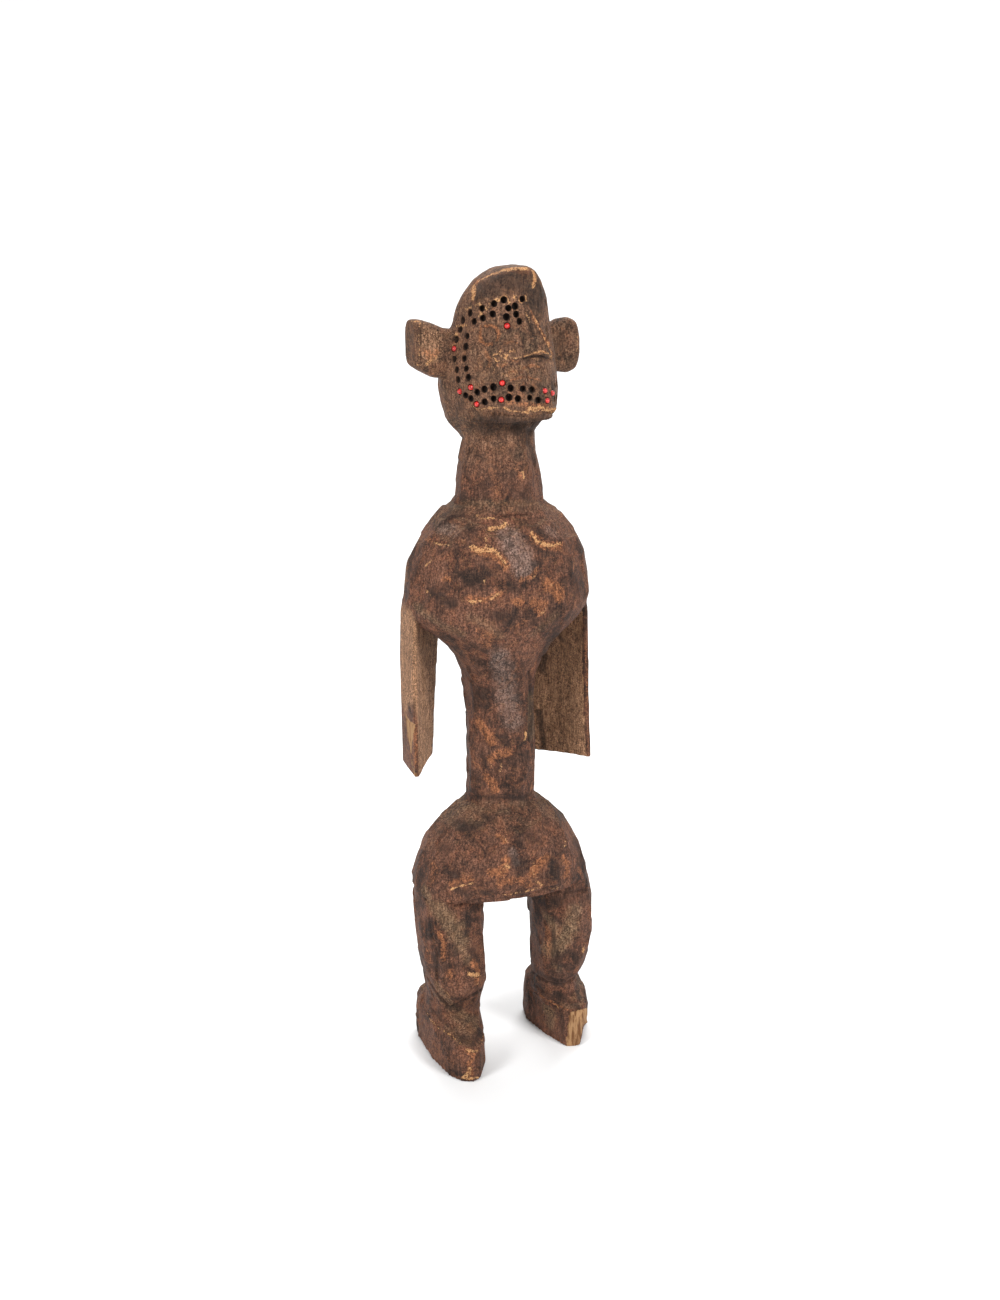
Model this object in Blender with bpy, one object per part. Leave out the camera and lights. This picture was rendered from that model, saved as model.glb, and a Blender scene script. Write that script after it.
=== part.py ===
"""Carved wooden figure with red seeds pressed into its face, in metres, +Z up, facing -Y."""
import math

import bmesh
import bpy
from mathutils import Matrix, Vector
from mathutils.bvhtree import BVHTree

# Height from the soles to the top of the crest
TOTAL_HEIGHT = 0.760

# Drilled holes round the face and the seeds pressed into some of them
HOLE_DIAMETER = 0.0054
HOLE_DEPTH = 0.0045
HOLE_SPACING = 0.0090
COLUMN_SPACING = 0.0073
HOLE_SIDES = 8
SEED_PROUD = 0.0018
SEED_CLEARANCE = 0.0003

# Proportions and carving are shares of the height, counted in its 760ths
SHARE = TOTAL_HEIGHT / 760

# Levels up the figure
CROTCH_LEVEL = 179
HIP_TOP_LEVEL = 270
ARM_BOTTOM_LEVEL = 300
TRUNK_LEVEL = 340
CHEST_LEVEL = 455
SHOULDER_TOP_LEVEL = 559
NECK_TOP_LEVEL = 622
JAW_LEVEL = 639
CREST_LEVEL = 760

# Half widths and depths of the main masses
SHOULDER_HALF_WIDTH = 87.5
CHEST_FRONT = 62
CHEST_BACK = 54
TRUNK_RADIUS = 31.5
HIP_HALF_WIDTH = 88
HIP_FRONT = 62
HIP_BACK = 54
NECK_RADIUS = 39

# The head turns a little to the figure's own left
HEAD_TURN = math.radians(9)

# Rows of holes on one side of the face, from the brow round the cheek to the chin, each point
# as degrees round from the middle of the face and level
OUTER_ROW = ((4, 733), (34, 730), (60, 722), (77, 714), (82, 702), (81, 688), (76, 671),
             (69, 656), (55, 647), (38, 646.5), (20, 649), (0, 650))
INNER_ROW = ((33, 721), (50, 716), (63, 707), (66, 692), (62, 672), (56, 661), (40, 658.5),
             (22, 661), (0, 659))
# Two short columns of holes run down the forehead, right of the middle
FOREHEAD_COLUMNS = ((-20, 724.5), (-10, 726.5))
HOLES_IN_COLUMN = 3
# Holes where seeds are still in place
SEED_SPOTS = ((-20, 711), (-85, 690), (-71, 654.5), (-57, 659), (-25, 664), (-26, 650),
              (-50, 645), (15, 656), (26, 653), (17, 647.5))

RING_SIDES = 24
FIGURE_COLOUR = (0.075, 0.040, 0.026, 1.0)
SEED_COLOUR = (0.55, 0.03, 0.02, 1.0)


def clear_scene():
    for item in list(bpy.data.objects):
        bpy.data.objects.remove(item, do_unlink=True)


def make_material(name, colour, roughness):
    material = bpy.data.materials.new(name)
    material.use_nodes = True
    shader = material.node_tree.nodes["Principled BSDF"]
    shader.inputs["Base Color"].default_value = colour
    shader.inputs["Roughness"].default_value = roughness
    shader.inputs["Metallic"].default_value = 0.0
    return material


def signed_power(value, power):
    return math.copysign(abs(value) ** power, value)


def round_ring(level, middle, half_width, front, back, squareness=2.0, front_share=1.0,
               back_share=1.0, sides=RING_SIDES):
    """Points of one level section; the shares narrow its front and back."""
    points = []
    for step in range(sides):
        angle = 2 * math.pi * (step + 0.5) / sides
        across = signed_power(math.cos(angle), 2 / squareness)
        along = signed_power(math.sin(angle), 2 / squareness)
        share = 1 + (front_share - 1) * max(0.0, -along) + (back_share - 1) * max(0.0, along)
        depth = back if along > 0 else front
        points.append(Vector((middle[0] + across * half_width * share,
                              middle[1] + along * depth,
                              level)))
    return points


def loft(rings):
    """Closed solid through rings of equal count, given in shares."""
    mesh_data = bmesh.new()
    loops = []
    for ring in rings:
        loops.append([mesh_data.verts.new(point * SHARE) for point in ring])
    for lower, upper in zip(loops, loops[1:]):
        for index in range(len(lower)):
            following = (index + 1) % len(lower)
            mesh_data.faces.new((lower[index], lower[following], upper[following], upper[index]))
    mesh_data.faces.new(list(reversed(loops[0])))
    mesh_data.faces.new(loops[-1])
    bmesh.ops.recalc_face_normals(mesh_data, faces=mesh_data.faces)
    return mesh_data


def hew(mesh_data, turn, tilt, bite):
    """One flat adze cut: turn is round from the front to the figure's left, tilt is upwards."""
    turn = math.radians(turn)
    tilt = math.radians(tilt)
    normal = Vector((math.sin(turn) * math.cos(tilt),
                     -math.cos(turn) * math.cos(tilt),
                     math.sin(tilt)))
    reach = max(vert.co.dot(normal) for vert in mesh_data.verts)
    plane_point = normal * (reach - bite * SHARE)
    everything = mesh_data.verts[:] + mesh_data.edges[:] + mesh_data.faces[:]
    cut = bmesh.ops.bisect_plane(mesh_data, geom=everything, plane_co=plane_point,
                                 plane_no=normal, clear_outer=True)
    edges = [item for item in cut["geom_cut"] if isinstance(item, bmesh.types.BMEdge)]
    bmesh.ops.edgenet_fill(mesh_data, edges=edges)


def finish_mass(name, mesh_data, turn=0.0):
    """Turns a bmesh into a hidden mass that the figure is joined from."""
    if turn:
        bmesh.ops.rotate(mesh_data, verts=mesh_data.verts, cent=(0, 0, 0),
                         matrix=Matrix.Rotation(turn, 3, "Z"))
    bmesh.ops.recalc_face_normals(mesh_data, faces=mesh_data.faces)
    mesh = bpy.data.meshes.new(name)
    mesh_data.to_mesh(mesh)
    mesh_data.free()
    mass = bpy.data.objects.new(name, mesh)
    bpy.context.collection.objects.link(mass)
    mass.hide_render = True
    mass.display_type = "WIRE"
    return mass


def dome_share(level, base, top, power):
    rise = min(1.0, max(0.0, (level - base) / (top - base)))
    return (1 - rise ** power) ** (1 / power)


def between(low, high, share):
    return low + (high - low) * share


def trunk_ridge(points, bulge):
    """Pushes out the upright ridge that runs down the trunk, left of its middle."""
    ridge_angle = math.radians(22)
    ridge_spread = math.radians(24)
    for point in points:
        angle = math.atan2(point.x, -point.y)
        nearness = max(0.0, 1 - abs(angle - ridge_angle) / ridge_spread)
        flat = Vector((point.x, point.y, 0))
        point += flat.normalized() * bulge * nearness
    return points


def make_torso():
    """Shoulders, chest, the funnel below it and the trunk, in one loft."""
    rings = []
    # share of the way from the top of the hips to the trunk's level, and the ridge there
    for share, bulge in ((-0.17, 0), (0.2, 0), (0.37, 3.5), (0.51, 3.0), (1, 2.0)):
        level = between(HIP_TOP_LEVEL, TRUNK_LEVEL, share)
        ring = round_ring(level, (0.5, 0), TRUNK_RADIUS, TRUNK_RADIUS, TRUNK_RADIUS, 2.5)
        rings.append(trunk_ridge(ring, bulge))
    for rise in (0.157, 0.304, 0.435, 0.557, 0.67, 0.783, 0.896):
        level = between(TRUNK_LEVEL, CHEST_LEVEL, rise)
        wide = 1 - (1 - rise ** 4.3) ** 1.6
        deep = 1 - (1 - rise ** 1.8) ** 1.3
        half_width = between(TRUNK_RADIUS, SHOULDER_HALF_WIDTH, wide)
        front = between(TRUNK_RADIUS, CHEST_FRONT, deep)
        back = between(TRUNK_RADIUS, CHEST_BACK, deep)
        ring = round_ring(level, (-5 * rise, 0), half_width, front, back, 2.3)
        rings.append(trunk_ridge(ring, 2.0 * (1 - rise)))
    for rise in (0, 0.192, 0.356, 0.51, 0.625, 0.731, 0.827, 0.904, 0.952):
        level = between(CHEST_LEVEL, SHOULDER_TOP_LEVEL, rise)
        half_width = SHOULDER_HALF_WIDTH * dome_share(level, CHEST_LEVEL, SHOULDER_TOP_LEVEL, 2.5)
        deep = dome_share(level, CHEST_LEVEL, SHOULDER_TOP_LEVEL, 2.9)
        middle = (-5 + 2.5 * math.sin(math.pi * rise), 0)
        ring = round_ring(level, middle, half_width, CHEST_FRONT * deep, CHEST_BACK * deep, 2.2)
        rings.append(ring)
    torso = loft(rings)
    adze_cuts = ((0, 42, 5), (-42, 40, 5), (44, 38, 3.5), (12, 4, 3.5), (-26, 8, 3), (48, 6, 3.5),
                 (-62, 12, 3), (0, -38, 3), (-38, -34, 3.5), (36, -34, 3.5), (180, 6, 3),
                 (140, 24, 4), (-140, 24, 4), (180, -34, 3), (90, 30, 1.5), (-90, 34, 3.5))
    for turn, tilt, bite in adze_cuts:
        hew(torso, turn, tilt, bite)
    return finish_mass("torso_mass", torso)


def make_hips():
    """The dome of the hips, flat below where it hangs over the legs."""
    rings = [round_ring(CROTCH_LEVEL, (-1, 0), HIP_HALF_WIDTH - 0.5, HIP_FRONT - 4, HIP_BACK, 2.5)]
    widest = CROTCH_LEVEL - 12
    for rise in (0.118, 0.29, 0.441, 0.581, 0.699, 0.806, 0.892, 0.957):
        level = between(CROTCH_LEVEL, HIP_TOP_LEVEL, rise)
        width = dome_share(level, widest, HIP_TOP_LEVEL, 2.0)
        deep = dome_share(level, widest, HIP_TOP_LEVEL + 4, 2.3)
        half_width = HIP_HALF_WIDTH * width
        rings.append(round_ring(level, (-1, 0), half_width, HIP_FRONT * deep, HIP_BACK * deep, 2.4))
    hips = loft(rings)
    adze_cuts = ((4, 8, 2.5), (-38, 14, 3), (42, 14, 3), (6, 44, 3), (-70, 34, 2.5), (70, 34, 2.5),
                 (180, 12, 3), (140, 30, 3), (-140, 30, 3), (-18, 28, 2), (30, 34, 2.5))
    for turn, tilt, bite in adze_cuts:
        hew(hips, turn, tilt, bite)
    return finish_mass("hips_mass", hips)


def make_neck():
    rings = []
    # share of the way from the shoulders to the jaw, and of the neck's radius
    for rise, share in ((-0.206, 1.025), (-0.032, 1.038), (0.175, 1), (0.397, 0.95),
                        (0.619, 0.888), (0.841, 0.813), (1, 0.775)):
        level = between(SHOULDER_TOP_LEVEL, NECK_TOP_LEVEL, rise)
        radius = NECK_RADIUS * share
        rings.append(round_ring(level, (-1.5, 0), radius, radius, radius, 2.2))
    neck = loft(rings)
    for turn, tilt, bite in ((-6, 8, 2.5), (-52, 6, 3), (46, 8, 3), (96, 6, 2), (-100, 4, 2),
                             (150, 8, 2.5), (-150, 8, 2.5)):
        hew(neck, turn, tilt, bite)
    return finish_mass("neck_mass", neck)


def make_head():
    """Skull, jaw and crest. The face is a wedge: narrower in front than at the ears."""
    # share of the way from the jaw to the crest, back edge, front edge, half width, share of
    # the width left at the front and at the back
    sections = ((-0.248, 28, -18, 28, 0.7, 0.9), (-0.207, 33, -24, 36, 0.66, 0.9),
                (-0.149, 38, -29, 43, 0.62, 0.92), (-0.099, 41, -33, 47, 0.6, 0.94),
                (-0.087, 42, -57, 48.5, 0.62, 0.95), (0, 44, -60, 51.5, 0.59, 0.98),
                (0.132, 45, -58.5, 54, 0.56, 1.0), (0.273, 43, -56, 53, 0.55, 0.97),
                (0.421, 38, -53, 49.5, 0.55, 0.94), (0.57, 33, -50, 45.5, 0.55, 0.9),
                (0.702, 28, -48, 42, 0.57, 0.88), (0.81, 22, -47, 37, 0.61, 0.86),
                (0.893, 16, -47, 29, 0.7, 0.86), (0.95, 9, -47, 21, 0.78, 0.86),
                (0.988, -1, -45, 12, 0.85, 0.86), (1, -12, -38, 6, 0.9, 0.9))
    rings = []
    for rise, back, front, half_width, front_share, back_share in sections:
        level = between(JAW_LEVEL, CREST_LEVEL, rise)
        middle = (0, (back + front) / 2)
        deep = (back - front) / 2
        rings.append(round_ring(level, middle, half_width, deep, deep, 3.2, front_share,
                                back_share))
    return finish_mass("head_mass", loft(rings), HEAD_TURN)


def make_nose():
    """A low broad ridge down the face that ends in a flat undercut."""
    rings = []
    # level, place across, half width, front
    for level, across, half_width, front in ((686, 9, 17, -55), (688, 9, 18, -57.5),
                                             (696, 8, 17, -56.5), (706, 6, 14, -53.5),
                                             (716, 4, 10, -50.5), (725, 2, 6, -47)):
        rings.append(round_ring(level, (across, -38), half_width, -38 - front, 6, 2.3, sides=12))
    return finish_mass("nose_mass", loft(rings), HEAD_TURN)


def ear_ring(reach, middle_y, middle_z, half_thick, half_high, squareness):
    points = []
    for step in range(RING_SIDES):
        angle = 2 * math.pi * (step + 0.5) / RING_SIDES
        along = signed_power(math.cos(angle), 2 / squareness)
        up = signed_power(math.sin(angle), 2 / squareness)
        points.append(Vector((reach, middle_y + along * half_thick, middle_z + up * half_high)))
    return points


def make_ear(name, side, roundness, sections):
    """A flat paddle standing out from the head."""
    rings = []
    for reach, middle_y, middle_z, half_thick, half_high in sections:
        rings.append(ear_ring(side * reach, middle_y, middle_z, half_thick, half_high, roundness))
    return finish_mass(name, loft(rings), HEAD_TURN)


def make_arm(name, side, levels):
    """A hanging slab, wedge shaped in plan: thin edge in front, thick at the back."""
    rings = []
    for rise, slant, reach, inner in levels:
        level_front = between(ARM_BOTTOM_LEVEL, SHOULDER_TOP_LEVEL, rise)
        outline = ((reach - 1, -19), (reach - 4.5, -20), (reach - 15, 2),
                   ((inner + reach - 15) / 2 + 1, 20), (inner, 38), (reach - 22, 41),
                   (reach - 8, 40), (reach - 1, 28), (reach, 14), (reach, 0))
        ring = []
        for across, along in outline:
            back_share = (along + 20) / 60
            ring.append(Vector((side * across, along, level_front - slant * back_share)))
        rings.append(ring)
    return finish_mass(name, loft(rings))


def make_leg(name, sections):
    rings = []
    for rise, middle_x, middle_y, half_width, half_deep in sections:
        level = CROTCH_LEVEL * rise
        middle = (middle_x, middle_y)
        rings.append(round_ring(level, middle, half_width, half_deep, half_deep, 2.7))
    return finish_mass(name, loft(rings))


def make_foot(name, outline, middle, top_heel, top_toe, crown, cuts):
    """A block foot: upright sides, a rim sloping to the toe and a crown rising to the ankle."""
    toe_y = min(along for across, along in outline)
    heel_y = max(along for across, along in outline)
    # share of the rim's height, share of the outline, extra height
    levels = ((0.0, 0.98, 0), (0.1, 1.0, 0), (0.8, 0.97, 0), (1.0, 0.9, 0), (1.0, 0.5, crown))
    rings = []
    for rise, spread, lift in levels:
        ring = []
        for across, along in outline:
            back_share = (along - toe_y) / (heel_y - toe_y)
            rim = top_toe + (top_heel - top_toe) * back_share
            ring.append(Vector((middle[0] + (across - middle[0]) * spread,
                                middle[1] + (along - middle[1]) * spread,
                                rim * rise + lift)))
        rings.append(ring)
    foot = loft(rings)
    for turn, tilt, bite in cuts:
        hew(foot, turn, tilt, bite)
    return finish_mass(name, foot)


def make_masses():
    masses = [make_torso(), make_hips(), make_neck(), make_head(), make_nose()]
    # reach, forward place, level, half thickness, half height
    masses.append(make_ear("right_ear_mass", -1, 4.0, (
        (36, 8, 685, 9, 21), (52, 8.5, 685.5, 9, 21.5), (62, 9, 688, 10.5, 23),
        (74, 9.5, 693, 12.5, 22), (80, 10, 695, 12.5, 20.5), (82.5, 10, 695.5, 10.5, 18.5))))
    masses.append(make_ear("left_ear_mass", 1, 2.5, (
        (36, 8, 688, 9, 17), (50, 8.5, 688, 9, 20), (60, 9, 688, 10, 23.5),
        (72, 9, 688, 12, 25), (79, 10, 688, 12, 22.5), (82, 10, 688.5, 9, 17))))
    # share of the way from the arm's end to the shoulder, how far the back edge hangs lower,
    # outer reach, inner reach
    masses.append(make_arm("right_arm_mass", -1, (
        (0, 0.5, 90, 56), (0.154, 0, 90.5, 54), (0.386, 0, 91, 50), (0.579, 0, 89.5, 46),
        (0.772, 0, 80, 42))))
    masses.append(make_arm("left_arm_mass", 1, (
        (0, 9, 87.5, 50), (0.154, 0, 85, 48), (0.386, 0, 83, 45), (0.579, 0, 81.5, 42),
        (0.772, 0, 72, 40))))
    # share of the crotch's level, middle across, middle along, half width, half depth
    masses.append(make_leg("right_leg_mass", (
        (0.215, -51, -2, 25, 26), (0.328, -50, -3, 25.5, 28), (0.395, -50, -6, 26.5, 33),
        (0.475, -50.5, -8, 28.5, 38), (0.565, -52, -7, 30, 39), (0.678, -54, -6, 31, 39),
        (0.847, -55, -5, 32, 39), (0.949, -54.5, -4, 32, 38), (1.04, -52, -4, 29, 34),
        (1.107, -50, -4, 22, 26))))
    masses.append(make_leg("left_leg_mass", (
        (0.215, 57, -2, 20, 25), (0.339, 57, -2, 21, 26), (0.407, 57, -4, 22, 30),
        (0.486, 58.5, -6, 24, 35), (0.565, 60.5, -6, 26, 37), (0.678, 62, -5, 28, 38),
        (0.847, 61, -4, 29.5, 38), (0.949, 59.5, -4, 29, 36), (1.04, 56, -4, 26, 32),
        (1.107, 52, -4, 20, 25))))
    right_outline = ((-80.5, 24), (-78, 40), (-69, 47), (-34, 47), (-25, 40), (-21, 20), (-22, -10),
                     (-30, -46), (-42, -69), (-50, -73), (-60, -69), (-69.5, -56), (-78, -20))
    masses.append(make_foot("right_foot_mass", right_outline, (-52, -8), 50, 35, 14, ()))
    left_outline = ((35, 22), (38, 40), (45, 47), (78, 47), (89, 40), (94, 20), (93, -5),
                    (86, -26), (75, -39), (66, -42), (56, -41), (43, -10))
    masses.append(make_foot("left_foot_mass", left_outline, (62, 0), 52, 38, 12,
                            ((50, -24, 9),)))
    return masses


def join_masses(masses):
    """One carved block: every mass is joined to the first by an exact union."""
    mesh = masses[0].data.copy()
    figure = bpy.data.objects.new("carved_figure", mesh)
    bpy.context.collection.objects.link(figure)
    for mass in masses[1:]:
        union = figure.modifiers.new(mass.name, "BOOLEAN")
        union.operation = "UNION"
        union.solver = "EXACT"
        union.object = mass
    return figure


def face_point(tree, angle, level):
    """Place and outward direction on the head at so many degrees round and so high."""
    around = HEAD_TURN + math.radians(angle)
    outward = Vector((math.sin(around), -math.cos(around), 0))
    axis_point = Vector((0, 0, level * SHARE))
    start = axis_point + outward * TOTAL_HEIGHT
    place, normal, index, distance = tree.ray_cast(start, -outward)
    return place, (normal + outward).normalized()


def walk_row(tree, corners, spacing):
    """Places a hole at each spacing along a row that runs through the corners."""
    samples = []
    steps = 24
    for (angle_a, level_a), (angle_b, level_b) in zip(corners, corners[1:]):
        for step in range(steps):
            share = step / steps
            samples.append((between(angle_a, angle_b, share), between(level_a, level_b, share)))
    samples.append(corners[-1])
    holes = []
    travelled = spacing
    last_place = None
    for angle, level in samples:
        place, normal = face_point(tree, angle, level)
        if last_place is not None:
            travelled += (place - last_place).length
        last_place = place
        if travelled >= spacing:
            holes.append((place, normal))
            travelled = 0.0
    return holes


def lay_out_holes(figure):
    """The seeds' holes first, then the double row round the face and the forehead columns."""
    bpy.context.view_layer.update()
    tree = BVHTree.FromObject(figure, bpy.context.evaluated_depsgraph_get())
    holes = []
    for angle, level in SEED_SPOTS:
        holes.append(face_point(tree, angle, level))
    for row in (OUTER_ROW, INNER_ROW):
        right_side = [(-angle, level) for angle, level in row]
        left_side = list(reversed(row[1:-1]))
        holes += walk_row(tree, right_side + left_side, HOLE_SPACING)
    for angle, level in FOREHEAD_COLUMNS:
        for step in range(HOLES_IN_COLUMN):
            lower = level - step * COLUMN_SPACING / SHARE
            holes.append(face_point(tree, angle, lower))
    kept = []
    for hole in holes:
        if all((hole[0] - other[0]).length > HOLE_DIAMETER * 1.25 for other in kept):
            kept.append(hole)
    return kept


def aim(item, place, normal):
    item.rotation_mode = "QUATERNION"
    item.rotation_quaternion = normal.to_track_quat("Z", "Y")
    item.location = place


def cut_holes(figure, holes):
    """One cutter holds a short rod for each hole, flat to flat HOLE_DIAMETER wide."""
    rods = bmesh.new()
    rod_above = 0.004
    rod_length = HOLE_DEPTH + rod_above
    corner_radius = HOLE_DIAMETER / 2 / math.cos(math.pi / HOLE_SIDES)
    for place, normal in holes:
        turn = normal.to_track_quat("Z", "Y").to_matrix().to_4x4()
        middle = place + normal * (rod_above - rod_length / 2)
        bmesh.ops.create_cone(rods, cap_ends=True, segments=HOLE_SIDES,
                              radius1=corner_radius, radius2=corner_radius,
                              depth=rod_length, matrix=Matrix.Translation(middle) @ turn)
    cutter = finish_mass("hole_cutter", rods)
    cut = figure.modifiers.new("holes", "BOOLEAN")
    cut.operation = "DIFFERENCE"
    cut.solver = "EXACT"
    cut.object = cutter


def add_seeds(seed_holes, material):
    """A seed in each of its holes, pressed in but clear of the wood."""
    seed_radius = HOLE_DIAMETER / 2 - SEED_CLEARANCE
    seed_bottom = -(HOLE_DEPTH - SEED_CLEARANCE)
    half_length = (SEED_PROUD - seed_bottom) / 2
    for number, (place, normal) in enumerate(seed_holes, start=1):
        ball = bmesh.new()
        bmesh.ops.create_uvsphere(ball, u_segments=8, v_segments=6, radius=seed_radius)
        bmesh.ops.scale(ball, vec=(1, 1, half_length / seed_radius), verts=ball.verts)
        bmesh.ops.translate(ball, vec=(0, 0, seed_bottom + half_length), verts=ball.verts)
        mesh = bpy.data.meshes.new("seed_" + str(number))
        ball.to_mesh(mesh)
        ball.free()
        mesh.shade_smooth()
        mesh.materials.append(material)
        seed = bpy.data.objects.new("seed_" + str(number), mesh)
        bpy.context.collection.objects.link(seed)
        aim(seed, place, normal)


def stand_on_centre(figure):
    """Carries everything on one empty, so that the box round the figure is centred."""
    bpy.context.view_layer.update()
    shape = figure.evaluated_get(bpy.context.evaluated_depsgraph_get())
    corners = [Vector(corner) for corner in shape.bound_box]
    middle_x = (min(c.x for c in corners) + max(c.x for c in corners)) / 2
    middle_y = (min(c.y for c in corners) + max(c.y for c in corners)) / 2
    base = bpy.data.objects.new("base_centre", None)
    bpy.context.collection.objects.link(base)
    for item in bpy.data.objects:
        if item is not base:
            item.parent = base
    base.location = (-middle_x, -middle_y, 0)


def build():
    clear_scene()
    wood = make_material("carved_wood", FIGURE_COLOUR, 0.6)
    seed_red = make_material("seed_red", SEED_COLOUR, 0.25)
    figure = join_masses(make_masses())
    figure.data.materials.append(wood)
    holes = lay_out_holes(figure)
    cut_holes(figure, holes)
    add_seeds(holes[:len(SEED_SPOTS)], seed_red)
    stand_on_centre(figure)


build()
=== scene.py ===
import math
import random

import bmesh
import bpy
import numpy as np
from mathutils import Matrix, Vector, noise
from mathutils.bvhtree import BVHTree
from mathutils.kdtree import KDTree


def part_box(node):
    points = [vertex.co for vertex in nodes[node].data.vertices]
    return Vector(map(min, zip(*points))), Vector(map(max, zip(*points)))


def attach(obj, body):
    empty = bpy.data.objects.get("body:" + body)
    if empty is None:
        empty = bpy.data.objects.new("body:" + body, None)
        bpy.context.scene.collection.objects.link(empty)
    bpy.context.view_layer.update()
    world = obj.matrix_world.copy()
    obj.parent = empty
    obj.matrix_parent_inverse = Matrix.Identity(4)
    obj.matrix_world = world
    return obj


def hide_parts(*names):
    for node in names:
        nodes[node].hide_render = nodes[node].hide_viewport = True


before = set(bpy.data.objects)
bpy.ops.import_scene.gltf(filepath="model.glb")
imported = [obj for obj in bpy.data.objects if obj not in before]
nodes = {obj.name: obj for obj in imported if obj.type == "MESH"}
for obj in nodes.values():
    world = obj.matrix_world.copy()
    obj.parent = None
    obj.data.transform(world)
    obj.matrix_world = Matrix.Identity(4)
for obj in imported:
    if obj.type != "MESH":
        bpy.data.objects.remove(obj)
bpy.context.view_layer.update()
random.seed(11)
print("frame loaded")

# Camera. Places in the photograph are given in its own pixels, 1000 wide and 1300 high.
cameraValues = {"azimuth": -18.0, "distance": 1.30, "height": 0.80, "pitch": -16.7,
                "lens": 40.04, "sensor": 36, "aimX": -0.0011, "aimY": 0.0097}
photoWidth = 1000
photoHeight = 1300
photoFocal = cameraValues["lens"] / cameraValues["sensor"] * photoHeight

cameraData = bpy.data.cameras.new("viewCamera")
cameraData.lens = cameraValues["lens"]
cameraData.sensor_width = cameraValues["sensor"]
cameraObject = bpy.data.objects.new("viewCamera", cameraData)
bpy.context.collection.objects.link(cameraObject)
azimuth = math.radians(cameraValues["azimuth"])
cameraObject.location = (cameraValues["aimX"] + cameraValues["distance"] * math.sin(azimuth),
                         cameraValues["aimY"] - cameraValues["distance"] * math.cos(azimuth),
                         cameraValues["height"])
cameraObject.rotation_euler = (math.radians(90 + cameraValues["pitch"]), 0, azimuth)
bpy.context.scene.camera = cameraObject
bpy.context.view_layer.update()
eyePoint = cameraObject.matrix_world.translation.copy()
eyeTurn = cameraObject.matrix_world.to_3x3()


def pixelDirection(place):
    across = (place[0] - photoWidth / 2) / photoFocal
    upward = (photoHeight / 2 - place[1]) / photoFocal
    return (eyeTurn @ Vector((across, upward, -1))).normalized()


def pixelPlaces(points):
    # Where the photograph shows points of the figure
    seen = (points - np.array(eyePoint[:])) @ np.array(eyeTurn)
    return (photoWidth / 2 - photoFocal * seen[:, 0] / seen[:, 2],
            photoHeight / 2 + photoFocal * seen[:, 1] / seen[:, 2])


def insideOutline(across, down, outline):
    inside = np.zeros(len(across), dtype=bool)
    for first, second in zip(outline, outline[1:] + outline[:1]):
        crosses = (down < first[1]) != (down < second[1])
        slope = (second[0] - first[0]) / ((second[1] - first[1]) or 1e-9)
        inside ^= crosses & (across < first[0] + slope * (down - first[1]))
    return inside


def smoothStep(value, low, high):
    share = np.clip((value - low) / (high - low), 0, 1)
    return share * share * (3 - 2 * share)


# Figure: the same form as its solid, remeshed finely, hewn, marked and drilled in mesh
figureValues = {
    "voxel": 0.0015, "softening": 34, "triangles": 170000, "sharpAngle": 52, "headTurn": 9.0,
    "jawRecess": 0.0026, "facetSpacing": 0.019, "fineFacetSpacing": 0.013,
    "facetFlatness": 0.9, "headFlatness": 0.35, "facetLimit": 0.0020, "facetLean": 0.035,
    "waviness": 0.00042, "fineWaviness": 0.00013, "chopMarks": 520, "splinters": 0.0008,
    "toeCut": 0.006, "armSlide": 6.0, "wearWander": 0.0011, "holeDiameter": 0.0060,
    "holeDepth": 0.0046, "solidHoleWidth": 0.0054, "plugRadius": 0.0031, "plugLength": 0.0050,
    "plugLift": 0.0019}
headTurn = math.radians(figureValues["headTurn"])
axisX = cameraValues["aimX"]
axisY = cameraValues["aimY"]

# Hole centres that the photograph shows, without those that hold a seed
holePixels = (
    (462.8, 320.1), (470, 312.9), (481.9, 308.2), (493.8, 303.6), (503.7, 299.8), (522.4, 299),
    (460.1, 329.4), (474, 321.4), (482.6, 318.1), (492.5, 313.9), (508.4, 308.2), (515.2, 306.2),
    (506.4, 316.8), (516.3, 314.2), (519.6, 321.4), (467.1, 336), (456.2, 339.3), (465.4, 346.5),
    (454.2, 359.1), (464.1, 358.4), (456.8, 369.7), (466.1, 368.6), (457.9, 379.6),
    (468.3, 377.3), (465.4, 395.4), (470.7, 398.5), (477, 392.1), (484.2, 389.2), (493.2, 387.1),
    (484.6, 402), (493.4, 398.7), (510.7, 388.2), (522.9, 388.8), (532.1, 389.5), (509, 397.4),
    (518, 398.7), (529.9, 397.8), (538.4, 400.1))


def facingMatrix(place, direction):
    # Puts a shape's own Z axis along a direction
    return Matrix.Translation(place) @ direction.to_track_quat("Z", "Y").to_matrix().to_4x4()


def pointTree(places):
    finder = KDTree(len(places))
    for number, place in enumerate(places):
        finder.insert(place, number)
    finder.balance()
    return finder


def pixelPairs(numbers):
    return list(zip(numbers[::2], numbers[1::2]))


def mergedCopy(node):
    copied = bmesh.new()
    copied.from_mesh(node.data)
    bmesh.ops.remove_doubles(copied, verts=copied.verts, dist=0.00001)
    return copied


def holeFloors(copied):
    # The flat octagons at the bottom of the drilled holes, as centre and outward direction
    flats = copied.copy()
    bmesh.ops.dissolve_limit(flats, angle_limit=math.radians(0.4), verts=flats.verts,
                             edges=flats.edges)
    octagonArea = 2 * (math.sqrt(2) - 1) * figureValues["solidHoleWidth"] ** 2
    found = []
    for face in flats.faces:
        if len(face.verts) == 8 and abs(face.calc_area() / octagonArea - 1) < 0.06:
            found.append((face.calc_center_median(), face.normal.copy()))
    flats.free()
    return found


solidCopy = mergedCopy(nodes["carved_figure"])
cadHoles = holeFloors(solidCopy)
print("holes found in the solid", len(cadHoles))
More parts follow.
